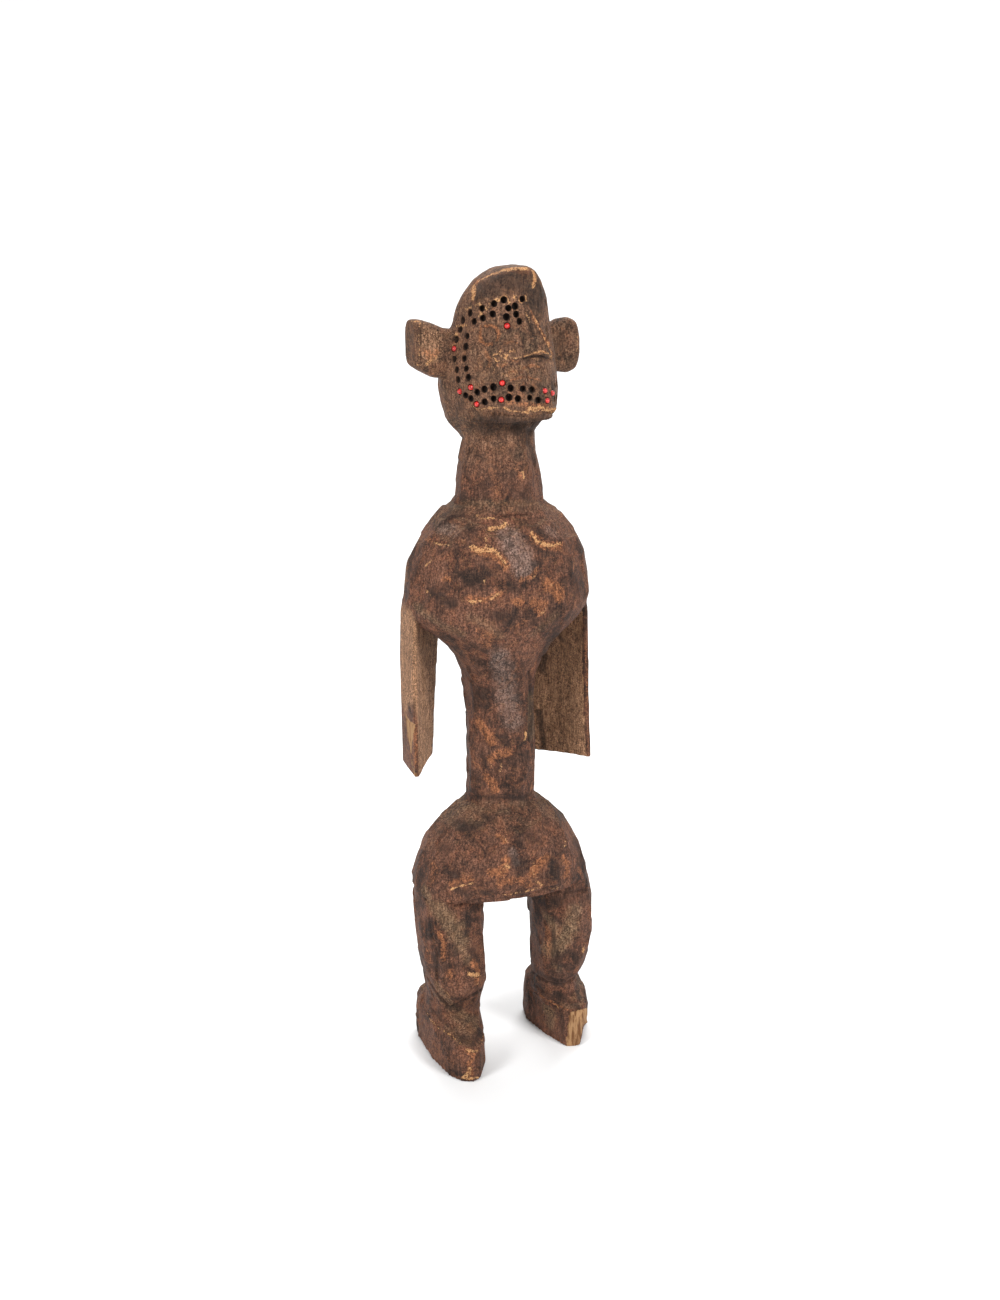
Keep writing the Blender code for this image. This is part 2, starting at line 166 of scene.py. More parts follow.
# The solid's holes are plugged here and drilled again, rounder, after the carving
for centre, direction in cadHoles:
    plugPlace = centre + direction * figureValues["plugLift"]
    bmesh.ops.create_cone(solidCopy, cap_ends=True, segments=12, depth=figureValues["plugLength"],
                          radius1=figureValues["plugRadius"], radius2=figureValues["plugRadius"],
                          matrix=facingMatrix(plugPlace, direction))
figureMesh = bpy.data.meshes.new("figureWood")
solidCopy.to_mesh(figureMesh)
solidCopy.free()
figureWood = bpy.data.objects.new("figureWood", figureMesh)
bpy.context.collection.objects.link(figureWood)


def applyModifiers(item):
    # A modifier that would leave no faces is dropped and the mesh stays as it was
    bpy.context.view_layer.update()
    shaped = bpy.data.meshes.new_from_object(
        item.evaluated_get(bpy.context.evaluated_depsgraph_get()))
    item.modifiers.clear()
    if len(shaped.polygons):
        item.data = shaped
    return len(item.data.polygons)


remesh = figureWood.modifiers.new("remesh", "REMESH")
remesh.mode = "VOXEL"
remesh.voxel_size = figureValues["voxel"]
applyModifiers(figureWood)
print("remeshed", len(figureWood.data.polygons))


def readPoints(mesh):
    flat = np.empty(len(mesh.vertices) * 3)
    mesh.vertices.foreach_get("co", flat)
    return flat.reshape(-1, 3)


def readNormals(mesh):
    flat = np.empty(len(mesh.vertices) * 3)
    mesh.vertex_normals.foreach_get("vector", flat)
    return flat.reshape(-1, 3)


def writePoints(mesh, points):
    mesh.vertices.foreach_set("co", points.ravel())
    mesh.update()


def readEdges(mesh):
    flat = np.empty(len(mesh.edges) * 2, dtype=np.int64)
    mesh.edges.foreach_get("vertices", flat)
    return flat.reshape(-1, 2)


def neighbourMean(values, edges, count):
    weight = np.bincount(edges.ravel(), minlength=count).astype(float)
    total = np.zeros((count, values.shape[1]))
    for column in range(values.shape[1]):
        total[:, column] = (np.bincount(edges[:, 0], values[edges[:, 1], column], count)
                            + np.bincount(edges[:, 1], values[edges[:, 0], column], count))
    return total / np.maximum(weight, 1)[:, None]


def headPlace(points):
    # Points turned back into the head's own frame, in millimetres
    turned = np.empty_like(points)
    shiftedX = points[:, 0] - axisX
    shiftedY = points[:, 1] - axisY
    turned[:, 0] = (shiftedX * math.cos(headTurn) + shiftedY * math.sin(headTurn)) * 1000
    turned[:, 1] = (-shiftedX * math.sin(headTurn) + shiftedY * math.cos(headTurn)) * 1000
    turned[:, 2] = points[:, 2] * 1000
    return turned


# The face is cut finer than the body, for its rings, slit and scratches
fineMesh = bmesh.new()
fineMesh.from_mesh(figureWood.data)
fineMesh.verts.ensure_lookup_table()
fineFaces = []
for face in fineMesh.faces:
    centre = face.calc_center_median()
    if centre.z > 0.632:
        local = headPlace(np.array([centre[:]]))[0]
        if local[1] < 2 and abs(local[0]) < 56 and face.normal.y < 0.45:
            fineFaces.append(face)
fineEdges = {edge for face in fineFaces for edge in face.edges}
bmesh.ops.subdivide_edges(fineMesh, edges=list(fineEdges), cuts=1, use_grid_fill=True)
fineMesh.to_mesh(figureWood.data)
fineMesh.free()
print("face refined", len(figureWood.data.polygons))

points = readPoints(figureWood.data)
edges = readEdges(figureWood.data)
count = len(points)


def softenShape(points, passes):
    # Rounds the solid's flat steps away, but holds its thin edges, rims and ledges
    local = headPlace(points)
    heights = points[:, 2] * 1000
    across = (points[:, 0] - axisX) * 1000
    onArms = (heights > 280) & (heights < 452) & (np.abs(across) > 43)
    onEars = (heights > 640) & (np.abs(local[:, 0]) > 56)
    onFeet = heights < 60
    onJaw = (heights > 622) & (heights < 642) & (local[:, 1] < -20)
    onNose = (heights > 680) & (heights < 732) & (local[:, 1] < -50)
    onHipLip = (heights > 170) & (heights < 192)
    onSoles = heights < 3
    hold = np.ones(count)
    for where, share in ((onArms, 0.10), (onEars, 0.25), (onFeet, 0.20), (onJaw, 0.16),
                         (onNose, 0.35), (onHipLip, 0.45), (onSoles, 0.0)):
        hold[where] = share
    hold = neighbourMean(neighbourMean(hold[:, None], edges, count), edges, count)
    hold[heights < 0.5] = 0.0
    for step in range(passes):
        for pull in (0.5, -0.52):
            points = points + (neighbourMean(points, edges, count) - points) * pull * hold
    return points


points = softenShape(points, figureValues["softening"])
writePoints(figureWood.data, points)
print("softened")

# Centres of the hewn facets that the photograph shows; the others are spread by chance
facetPixels = (
    (517, 552), (447, 530), (549, 531), (470, 572), (560, 575), (428, 575), (492, 612), (545, 612),
    (500, 520), (455, 620), (510, 694), (528, 700), (484, 700), (497, 745), (478, 770), (518, 770),
    (500, 830), (465, 835), (535, 835), (440, 862), (475, 872), (505, 868), (535, 872), (566, 866),
    (470, 920), (440, 925), (462, 960), (560, 925), (548, 960), (575, 950), (452, 1020),
    (470, 1020), (440, 1050), (475, 1065), (455, 1070), (548, 1020), (520, 285), (495, 290),
    (475, 300), (505, 345), (488, 365), (450, 405), (470, 412), (505, 440), (480, 470),
    (515, 480), (470, 440), (530, 450))


def facetCentres(points, tree):
    hits = [tree.ray_cast(eyePoint, pixelDirection(pixel))[0] for pixel in facetPixels]
    known = [hit for hit in hits if hit is not None]
    order = list(range(0, count, 7))
    random.shuffle(order)
    kept = pointTree(known)
    # Facets are smaller on the head and the feet
    for index in order:
        place = Vector(points[index])
        height = place.z * 1000
        size = "fineFacetSpacing" if height > 600 or height < 60 else "facetSpacing"
        if height >= 2 and kept.find(place)[2] > figureValues[size]:
            known.append(place)
            kept = pointTree(known)
    return known, kept


def facetSums(owner, values, total):
    return np.stack([np.bincount(owner, values[:, axis], total) for axis in range(3)], axis=1)


def hewFacets(points, normals, tree):
    # Each vertex is drawn towards the plane of the facet whose centre is nearest
    known, kept = facetCentres(points, tree)
    owner = np.array([kept.find(Vector(point))[1] for point in points])
    total = len(known)
    weight = np.maximum(np.bincount(owner, minlength=total), 1)[:, None]
    planePoint = facetSums(owner, points, total) / weight
    planeNormal = facetSums(owner, normals, total)
    chance = np.random.default_rng(5)
    planeNormal /= np.maximum(np.linalg.norm(planeNormal, axis=1), 1e-9)[:, None]
    planeNormal += chance.normal(0, figureValues["facetLean"], planeNormal.shape)
    planeNormal /= np.linalg.norm(planeNormal, axis=1)[:, None]
    offset = ((points - planePoint[owner]) * planeNormal[owner]).sum(axis=1)
    facing = (normals * planeNormal[owner]).sum(axis=1)
    flatness = np.where(points[:, 2] > 0.630, figureValues["headFlatness"],
                        figureValues["facetFlatness"])
    amount = smoothStep(facing, 0.80, 0.95) * flatness
    offset = np.clip(offset, -figureValues["facetLimit"], figureValues["facetLimit"])
    return points - planeNormal[owner] * (offset * amount)[:, None], total


def regionMasks(points):
    # Shares of arm and ear, height over the floor and distance from the axis in millimetres
    local = headPlace(points)
    heights = points[:, 2] * 1000
    across = (points[:, 0] - axisX) * 1000
    arms = (smoothStep(heights, 285, 296) * (1 - smoothStep(heights, 425, 470))
            * smoothStep(np.abs(across), 40, 47))
    ears = smoothStep(heights, 650, 660) * smoothStep(np.abs(local[:, 0]), 54, 62)
    return arms, ears, heights, across


def surfaceTree():
    shape = bmesh.new()
    shape.from_mesh(figureWood.data)
    tree = BVHTree.FromBMesh(shape)
    shape.free()
    return tree


normals = readNormals(figureWood.data)
arms, ears, heights, across = regionMasks(points)
hewn, facetCount = hewFacets(points, normals, surfaceTree())
hewAmount = (1 - arms) * (1 - ears) * smoothStep(heights, 1.0, 4.0)
points = points + (hewn - points) * hewAmount[:, None]
for step in range(2):
    points = points + (neighbourMean(points, edges, count) - points) * 0.4 * hewAmount[:, None]
writePoints(figureWood.data, points)
print("facets hewn", facetCount)

# Relief: each row is half width and height in millimetres, below zero for a groove, then the
# photograph's pixels along the line, across and down in turn
reliefLines = (
    # nose ridge, slit under it, muzzle crease and the scratches beside them
    (1.8, 1.7, 527, 306, 533, 316, 540, 329, 547, 342, 553, 355),
    (2.2, -1.5, 527, 318, 531, 328, 533, 338, 536, 347),
    (1.2, -0.6, 508, 373, 515, 370.5, 522, 372.5),
    (1.2, -0.7, 511, 380.5, 522, 377, 533, 378, 541, 381),
    (1.2, -0.6, 523, 368, 531, 365.5, 540, 367.5), (1.1, -0.5, 497, 376, 504, 373, 511, 376),
    (1.1, -0.5, 500, 357, 504, 354, 508, 355, 506, 359), (1.1, -0.5, 509, 352, 513, 350, 516, 353),
    (1.1, -0.5, 504, 345, 510, 342, 517, 343), (1.3, -0.5, 476, 350, 484, 357, 492, 361),
    (1.2, -0.5, 478, 366, 486, 371, 494, 380),
    (1.7, -1.9, 524, 358.5, 531, 357, 541, 356.5, 551, 359),
    (1.6, 0.9, 524, 357, 531, 353.5, 540, 351.5, 547, 352.8, 552.5, 357.5),
    (1.5, -0.6, 494, 355, 505, 358, 515, 358.5, 524, 358), (0.9, -0.5, 496, 353, 500, 350.5),
    (0.9, -0.5, 493.5, 357, 497, 361), (0.9, -0.5, 495, 363, 499, 361.5),
    (0.9, -0.5, 492.5, 366, 494, 370), (0.9, -0.5, 519, 364, 520, 368.5),
    (0.9, -0.4, 509, 372, 513, 371), (0.9, -0.4, 524, 372, 531, 370, 537, 372),
    (0.9, -0.4, 527, 313, 536, 328, 546, 342),
    # jaw ledge and chin
    (1.6, -1.0, 472, 408.5, 485, 411.5, 498, 410.5, 507, 412, 519, 414, 529, 416, 541, 412, 555,
     412.5),
    (1.8, 0.7, 472, 405.5, 485, 408, 498, 406.5, 507, 408, 519, 410.5, 528, 411, 541, 407.5, 556,
     408.5), (1.2, -0.5, 506, 416, 520, 420, 540, 419),
    # ears
    (1.1, -0.8, 421, 324, 421.2, 340, 421, 362), (1.0, 0.5, 418.6, 323, 418.8, 340, 418.6, 363),
    (1.4, -0.6, 415, 323.5, 424, 331, 430, 337), (1.6, -0.7, 412, 365, 420, 359, 428, 362),
    (1.2, -0.7, 568, 322, 573, 330, 574.5, 342, 570, 355),
    # neck
    (0.9, -0.7, 452, 470, 456, 490, 455, 503), (3.0, 1.2, 522, 472, 524.5, 476),
    (2.0, -0.6, 528, 440, 533, 460, 538, 485),
    (1.8, -0.7, 455, 503, 480, 505, 505, 506, 530, 503, 541, 499),
    # chest facets' edges and chips
    (1.2, -0.5, 441, 518, 466, 517, 474, 523, 491, 525, 507, 525, 523, 529),
    (1.2, -0.5, 429, 537, 434, 543, 450, 543.5, 460, 537, 468, 527),
    (1.6, -0.7, 486, 530, 494, 530, 505, 527),
    (1.3, -0.5, 471, 547, 480, 551, 491, 549, 500, 556, 506, 566),
    (1.5, -0.6, 531, 534, 538, 542, 550, 545, 560, 544),
    (1.3, -0.5, 538, 547, 536, 563, 532, 574, 521, 580),
    (1.3, -0.6, 436, 586, 454, 594, 469, 601, 491, 602, 500, 594), (1.0, -0.4, 425, 566, 431, 561),
    (1.0, -0.5, 427, 590, 431, 594), (1.0, -0.4, 540, 614, 546, 611),
    # trunk: the upright ridge, the hollow beside it, the chip at its foot, the seat on the hips
    (2.6, 1.7, 521.5, 668, 523.5, 690, 524.3, 710, 523, 726),
    (3.0, -1.8, 529, 672, 531, 700, 530, 726, 529, 740),
    (3.0, 1.0, 499, 655, 502, 680, 504, 705, 506, 722),
    (1.4, -0.9, 507, 720, 516, 724, 524, 730, 526, 738),
    (1.7, -0.8, 470, 796, 485, 796, 500, 795.5, 521, 798, 534, 790.5),
    # hips: the lip over the crotch and the creases over the legs
    (1.5, 1.0, 503, 895, 514, 894, 529, 890.5, 543, 886.5),
    (1.5, -0.9, 500, 898.5, 514, 897.5, 529, 894, 545, 889),
    (2.0, -1.2, 450, 908, 464, 903, 481, 898.5), (2.2, -1.2, 543, 889, 564, 893, 590, 889),
    (1.2, -0.5, 451, 889, 459, 886.5, 474, 883), (1.6, -0.5, 466, 848, 480, 840, 495, 836),
    # right leg and knee
    (2.2, -1.0, 429, 915, 432, 935, 438, 955, 437, 980), (2.6, 0.9, 438, 930, 444, 945, 445, 962),
    (1.4, -1.4, 436.2, 969, 437, 981), (1.4, -1.2, 444, 978, 444.6, 984),
    (0.8, -0.7, 441.5, 982, 446, 990, 450, 998), (5.5, 2.0, 470, 974, 479, 975),
    (2.2, -1.0, 477, 958, 480, 966, 483, 975),
    (3.0, -2.0, 427, 978, 437, 994, 450, 1008, 462, 1001, 481, 990),
    # left leg and ankle
    (2.8, -1.8, 533, 973, 547, 982, 562, 985, 570, 981, 577, 976),
    (1.2, -0.5, 562, 932, 556, 950, 557, 965), (1.5, -0.8, 560, 905, 566, 925, 563, 945),
    # feet
    (1.2, -0.8, 553, 999, 556, 1005, 560, 1011), (1.6, -1.6, 585, 999, 585.5, 1003),
    (0.9, -0.7, 427, 1013, 428.5, 1016.5), (0.9, -0.7, 429.5, 1018, 431.5, 1021),
    (0.9, -0.7, 433.5, 1022, 435.5, 1025), (0.9, -0.7, 437, 1026, 439, 1029),
    (0.9, -0.7, 443, 1029.5, 445, 1033), (0.9, -0.7, 448.5, 1033, 450.5, 1036),
    (0.9, -0.7, 453, 1036, 455.5, 1039.5), (0.9, -0.7, 459, 1041, 462, 1045),
    (0.9, -0.6, 485.5, 1022, 483.5, 1025), (0.9, -0.6, 484.5, 1030, 482.5, 1033),
    (0.9, -0.6, 483.5, 1038, 481, 1041), (1.8, -0.9, 467, 1049, 472, 1052, 478, 1050),
    (1.2, 1.3, 531, 989, 545, 999, 556, 1004.5, 568, 1010, 580, 1008, 586, 1003),
    (2.4, -0.8, 535, 985, 548, 994, 559, 999.5, 569, 1004, 580, 1002),
    (1.2, 1.2, 424, 1009, 434, 1024, 448, 1035, 460, 1044, 468, 1048),
    (2.4, -0.8, 429, 1005, 439, 1018, 452, 1029, 463, 1037, 470, 1042),
    (1.1, 1.1, 486, 1020, 484, 1032, 481, 1043, 478, 1048),
    # arms: the ridge down the right arm and its broken edge
    (1.0, -0.5, 420, 655, 424, 680, 423.5, 708, 421, 718),
    (1.6, -0.9, 406, 719, 413, 724, 417, 725))


def castLine(tree, pixels, step=1.5):
    # The line's points on the surface that the camera sees, with the surface's directions
    placed = []
    for first, second in zip(pixels, pixels[1:]):
        length = math.dist(first, second)
        parts = max(1, int(length / step))
        for part in range(parts + 1):
            share = part / parts
            pixel = (first[0] + (second[0] - first[0]) * share,
                     first[1] + (second[1] - first[1]) * share)
            hit = tree.ray_cast(eyePoint, pixelDirection(pixel))
            if hit[0] is not None:
                placed.append((hit[0], hit[1]))
    return placed


def lineDistance(points, normals, placed, reach):
    # Index of the vertices within reach of the line and their distance from it
    line = np.array([place[:] for place, direction in placed])
    outward = np.array([direction[:] for place, direction in placed]).mean(axis=0)
    low = line.min(axis=0) - reach
    high = line.max(axis=0) + reach
    inside = np.nonzero(((points > low) & (points < high)).all(axis=1)
                        & ((normals * outward).sum(axis=1) > 0.05))[0]
    nearest = np.full(len(inside), 1.0)
    subset = points[inside]
    for first, second in zip(line, line[1:]):
        along = second - first
        size = max(float(along @ along), 1e-12)
        if size > 0.02 ** 2:
            continue
        share = np.clip(((subset - first) @ along) / size, 0, 1)
        distance = np.linalg.norm(subset - first - share[:, None] * along, axis=1)
        nearest = np.minimum(nearest, distance)
    return inside, nearest


def carveLines(points, normals, tree):
    shift = np.zeros(count)
    for halfWidth, rise, *numbers in reliefLines:
        placed = castLine(tree, pixelPairs(numbers))
        if len(placed) < 2:
            continue
        inside, distance = lineDistance(points, normals, placed, halfWidth / 1000 * 1.6)
        profile = np.exp(-(distance / (halfWidth / 1000)) ** 2 * 2.2)
        shift[inside] += profile * rise / 1000
    return shift


tree = surfaceTree()
normals = readNormals(figureWood.data)
shift = carveLines(points, normals, tree)

# Eyes: a raised ring, cuts inside and outside it, and a low disc, in millimetres
eyeValues = {"side": 29.8, "front": -36.0, "height": 703.0, "ringRadius": 8.8,
             "ringRaise": 0.60, "innerRadius": 7.0, "innerCut": 0.60, "outerRadius": 10.3,
             "outerCut": 0.35, "discRaise": 0.25, "lineWidth": 0.9}


def circleLine(distance, radius):
    return np.exp(-((distance - radius) / eyeValues["lineWidth"]) ** 2)


def ringEye(points, side):
    local = headPlace(points)
    centre = np.array((side * eyeValues["side"], eyeValues["front"], eyeValues["height"]))
    outward = np.array((side * 0.69, -0.70, 0.12))
    outward /= np.linalg.norm(outward)
    offset = local - centre
    along = offset @ outward
    flat = np.linalg.norm(offset - along[:, None] * outward, axis=1)
    close = np.abs(along) < 12
    ring = (circleLine(flat, eyeValues["ringRadius"]) * eyeValues["ringRaise"]
            - circleLine(flat, eyeValues["innerRadius"]) * eyeValues["innerCut"])
    disc = (1 - smoothStep(flat, 4.5, 6.0)) * eyeValues["discRaise"]
    outside = -circleLine(flat, eyeValues["outerRadius"]) * eyeValues["outerCut"]
    return (ring + disc + outside) * close / 1000


shift += ringEye(points, -1) + ringEye(points, 1)

# Lower edge of the face, where the jaw steps back
jawPixels = ((470, 409), (485, 412), (498, 411.5), (507, 413), (519, 415), (529, 417), (541, 413),
             (555, 413))


def jawStep(points, tree):
    placed = np.array([place[:] for place, direction in castLine(tree, jawPixels)])
    ledge = headPlace(placed)
    turns = np.degrees(np.arctan2(np.abs(ledge[:, 0]), -ledge[:, 1]))
    order = np.argsort(turns)
    local = headPlace(points)
    around = np.degrees(np.arctan2(np.abs(local[:, 0]), -local[:, 1]))
    below = np.interp(around, turns[order], ledge[order, 2]) - local[:, 2]
    amount = smoothStep(below, 0.0, 1.8) * (1 - smoothStep(below, 7, 17))
    return -figureValues["jawRecess"] * amount * (1 - smoothStep(around, 62, 80))


shift += jawStep(points, tree)


def fieldNoise(points, size, octaves, seed):
    scale = 1 / size
    offset = Vector((seed * 13.7, seed * 7.1, seed * 3.3))
    return np.array([noise.fractal(Vector(point) * scale + offset, 1.0, 2.0, octaves)
                     for point in points])


broadWave = fieldNoise(points, 0.026, 3, 1)
fineWave = fieldNoise(points * np.array((1, 1, 0.55)), 0.0055, 3, 2)
quiet = smoothStep(heights, 1.0, 5.0)
shift += (broadWave * figureValues["waviness"] * (1 - 0.5 * arms)
          + fineWave * figureValues["fineWaviness"]) * quiet


def chopMarks(points, normals, shift):
    # Short blade marks left on the inner faces of the arms and the undersides
    chance = random.Random(8)
    innerFaces = np.nonzero((arms > 0.6) & (np.abs(normals[:, 2]) < 0.5)
                            & (normals[:, 0] * np.sign(across) < -0.15))[0]
    for mark in range(figureValues["chopMarks"] if len(innerFaces) else 0):
        index = innerFaces[chance.randrange(len(innerFaces))]
        start = points[index]
        lean = chance.gauss(0, 0.4)
        direction = np.array((0, math.sin(lean), math.cos(lean)))
        length = chance.uniform(0.003, 0.009)
        halfWidth = chance.uniform(0.0006, 0.0011)
        depth = chance.uniform(0.00015, 0.0004)
        low = start - length
        high = start + length
        box = np.nonzero(((points > low) & (points < high)).all(axis=1))[0]
        offset = points[box] - start
        along = offset @ direction
        sideways = np.linalg.norm(offset - along[:, None] * direction, axis=1)
        profile = (np.exp(-(sideways / halfWidth) ** 2)
                   * (1 - smoothStep(np.abs(along), length * 0.4, length * 0.7)))
        shift[box] -= profile * depth * (arms[box] > 0.4)
    return shift


shift = chopMarks(points, normals, shift)
points = points + normals * shift[:, None]
writePoints(figureWood.data, points)
print("relief carved")

# Outline of the split toe in the photograph's pixels
footBreak = ((569.9, 1012), (587.5, 1008), (587.5, 1022), (583, 1025), (581, 1037), (579, 1049),
             (565.5, 1048.5))


def floorPlace(pixel):
    direction = pixelDirection(pixel)
    return eyePoint + direction * (-eyePoint.z / direction.z)


def spreadToe(points):
    # The split toe keeps its breadth down to the floor
    across, down = pixelPlaces(points)
    left = np.interp(down, (1012, 1045.4, 1049), (569.9, 565.8, 565.4))
    now = np.interp(down, (1018, 1046.5, 1049), (586.5, 568.5, 568))
    wanted = np.interp(down, (1018, 1022, 1025.5, 1037, 1047, 1049),
                       (586.5, 586, 583.5, 581, 579, 578.5))
    share = np.clip((across - left) / (now - left), 0, 1.2)
    near = (down > 1018) & (across > 560) & (points[:, 2] < 0.050)
    return share * (wanted - now) * near


def closeArmGap(points):
    # The left arm's back edge reaches behind the trunk, as the photograph shows
    across, down = pixelPlaces(points)
    weight = (1 - smoothStep(across, 538, 562)) * smoothStep(down, 668, 690)
    near = (arms > 0.3) & (points[:, 0] > axisX + 0.030)
    return -figureValues["armSlide"] * weight * near


def slideAcross(points, pixels):
    # Moves points sideways as the camera sees them, by a number of the photograph's pixels
    depth = -((points - np.array(eyePoint[:])) @ np.array(eyeTurn))[:, 2]
    return points + np.outer(pixels * depth / photoFocal, np.array(eyeTurn)[:, 0])


def breakFoot(points):
    # The left foot's toe is split off along an upright plane, with a splintery face
    planePoint = np.array(floorPlace((566.5, 1046.2))[:])
    planeNormal = np.array((-0.20, -0.97, 0.06))
    planeNormal /= np.linalg.norm(planeNormal)
    across, down = pixelPlaces(points)
    near = insideOutline(across, down, footBreak) & (points[:, 2] < 0.050)
    splinters = np.array([noise.noise(Vector((point[0] * 700, point[1] * 300, point[2] * 60)))
                          for point in points[near]]) * figureValues["splinters"]
    offset = (points[near] - planePoint) @ planeNormal - splinters
    offset = np.clip(offset, -figureValues["splinters"], figureValues["toeCut"])
    points[near] -= offset[:, None] * planeNormal
    return points


points = slideAcross(points, spreadToe(points) + closeArmGap(points))
points = breakFoot(points)
points[:, 2] = np.maximum(points[:, 2], 0)
writePoints(figureWood.data, points)

decimate = figureWood.modifiers.new("decimate", "DECIMATE")
triangleCount = sum(len(polygon.vertices) - 2 for polygon in figureWood.data.polygons)
decimate.ratio = min(1.0, figureValues["triangles"] / triangleCount)
applyModifiers(figureWood)
print("decimated", triangleCount, "to", len(figureWood.data.polygons))


def seedPlaces():
    places = []
    for number in range(1, 11):
        low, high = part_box("seed_%d" % number)
        places.append((Vector(low) + Vector(high)) / 2)
    return places


def drillPlaces(tree):
    # Holes that hold seeds, those placed in the photograph, and the solid's on the far side
    places = []
    axis = Vector((axisX, axisY, 0))
    for centre in seedPlaces():
        matching = min(cadHoles, key=lambda hole: (hole[0] - centre).length)
        hit = tree.ray_cast(matching[0] + matching[1] * 0.02, -matching[1])
        places.append((hit[0], matching[1].copy(), True))
    for pixel in holePixels:
        hit = tree.ray_cast(eyePoint, pixelDirection(pixel))
        if hit[0] is None:
            continue
        outward = Vector((hit[0].x - axis.x, hit[0].y - axis.y, 0)).normalized()
        places.append((hit[0], (hit[1] * 0.6 + outward).normalized(), False))
    for centre, direction in cadHoles:
        local = headPlace(np.array([centre[:]]))[0]
        around = math.degrees(math.atan2(local[0], -local[1]))
        if around < 4 or (around < 30 and local[2] < 668):
            continue
        hit = tree.ray_cast(centre + direction * 0.02, -direction)
        if hit[0] is None:
            continue
        if min((hit[0] - other[0]).length for other in places) > 0.0068:
            places.append((hit[0], direction.copy(), False))
    return places


tree = surfaceTree()
drilled = drillPlaces(tree)
drillMesh = bmesh.new()
for place, direction, holdsSeed in drilled:
    radius = figureValues["holeDiameter"] / 2 * (1.0 if holdsSeed else random.uniform(0.93, 1.1))
    depth = figureValues["holeDepth"]
    squash = Matrix.Diagonal((random.uniform(0.94, 1.04), random.uniform(0.94, 1.04), 1, 1))
    placed = facingMatrix(place, direction) @ squash
    # A short cone for the worn rim, drawn into one closed shape with the bore
    ringLevels = ((-depth, radius * 0.55), (-depth * 0.8, radius * 0.9), (-0.0006, radius),
                  (0.0001, radius * 1.06), (0.0020, radius * 1.16))
    rings = []
    for level, size in ringLevels:
        made = bmesh.ops.create_circle(drillMesh, segments=14, radius=size,
                                       matrix=placed @ Matrix.Translation((0, 0, level)))
        ringVerts = set(made["verts"])
        rings.append([edge for vert in made["verts"] for edge in vert.link_edges
                      if edge.other_vert(vert) in ringVerts])
    for lower, upper in zip(rings, rings[1:]):
        bmesh.ops.bridge_loops(drillMesh, edges=list(set(lower)) + list(set(upper)))
    bmesh.ops.holes_fill(drillMesh, edges=list(set(rings[0])), sides=0)
    bmesh.ops.holes_fill(drillMesh, edges=list(set(rings[-1])), sides=0)
bmesh.ops.recalc_face_normals(drillMesh, faces=drillMesh.faces)
drillData = bpy.data.meshes.new("drillCutter")
drillMesh.to_mesh(drillData)
drillMesh.free()
drillCutter = bpy.data.objects.new("drillCutter", drillData)
bpy.context.collection.objects.link(drillCutter)
for solver in ("MANIFOLD", "EXACT"):
    before = len(figureWood.data.polygons)
    cut = figureWood.modifiers.new("holes", "BOOLEAN")
    cut.operation = "DIFFERENCE"
    cut.solver = solver
    cut.object = drillCutter
    if applyModifiers(figureWood) > before + 200:
        print("holes cut with", solver)
        break
bpy.data.objects.remove(drillCutter, do_unlink=True)
print("drilled", len(drilled), "faces", len(figureWood.data.polygons))

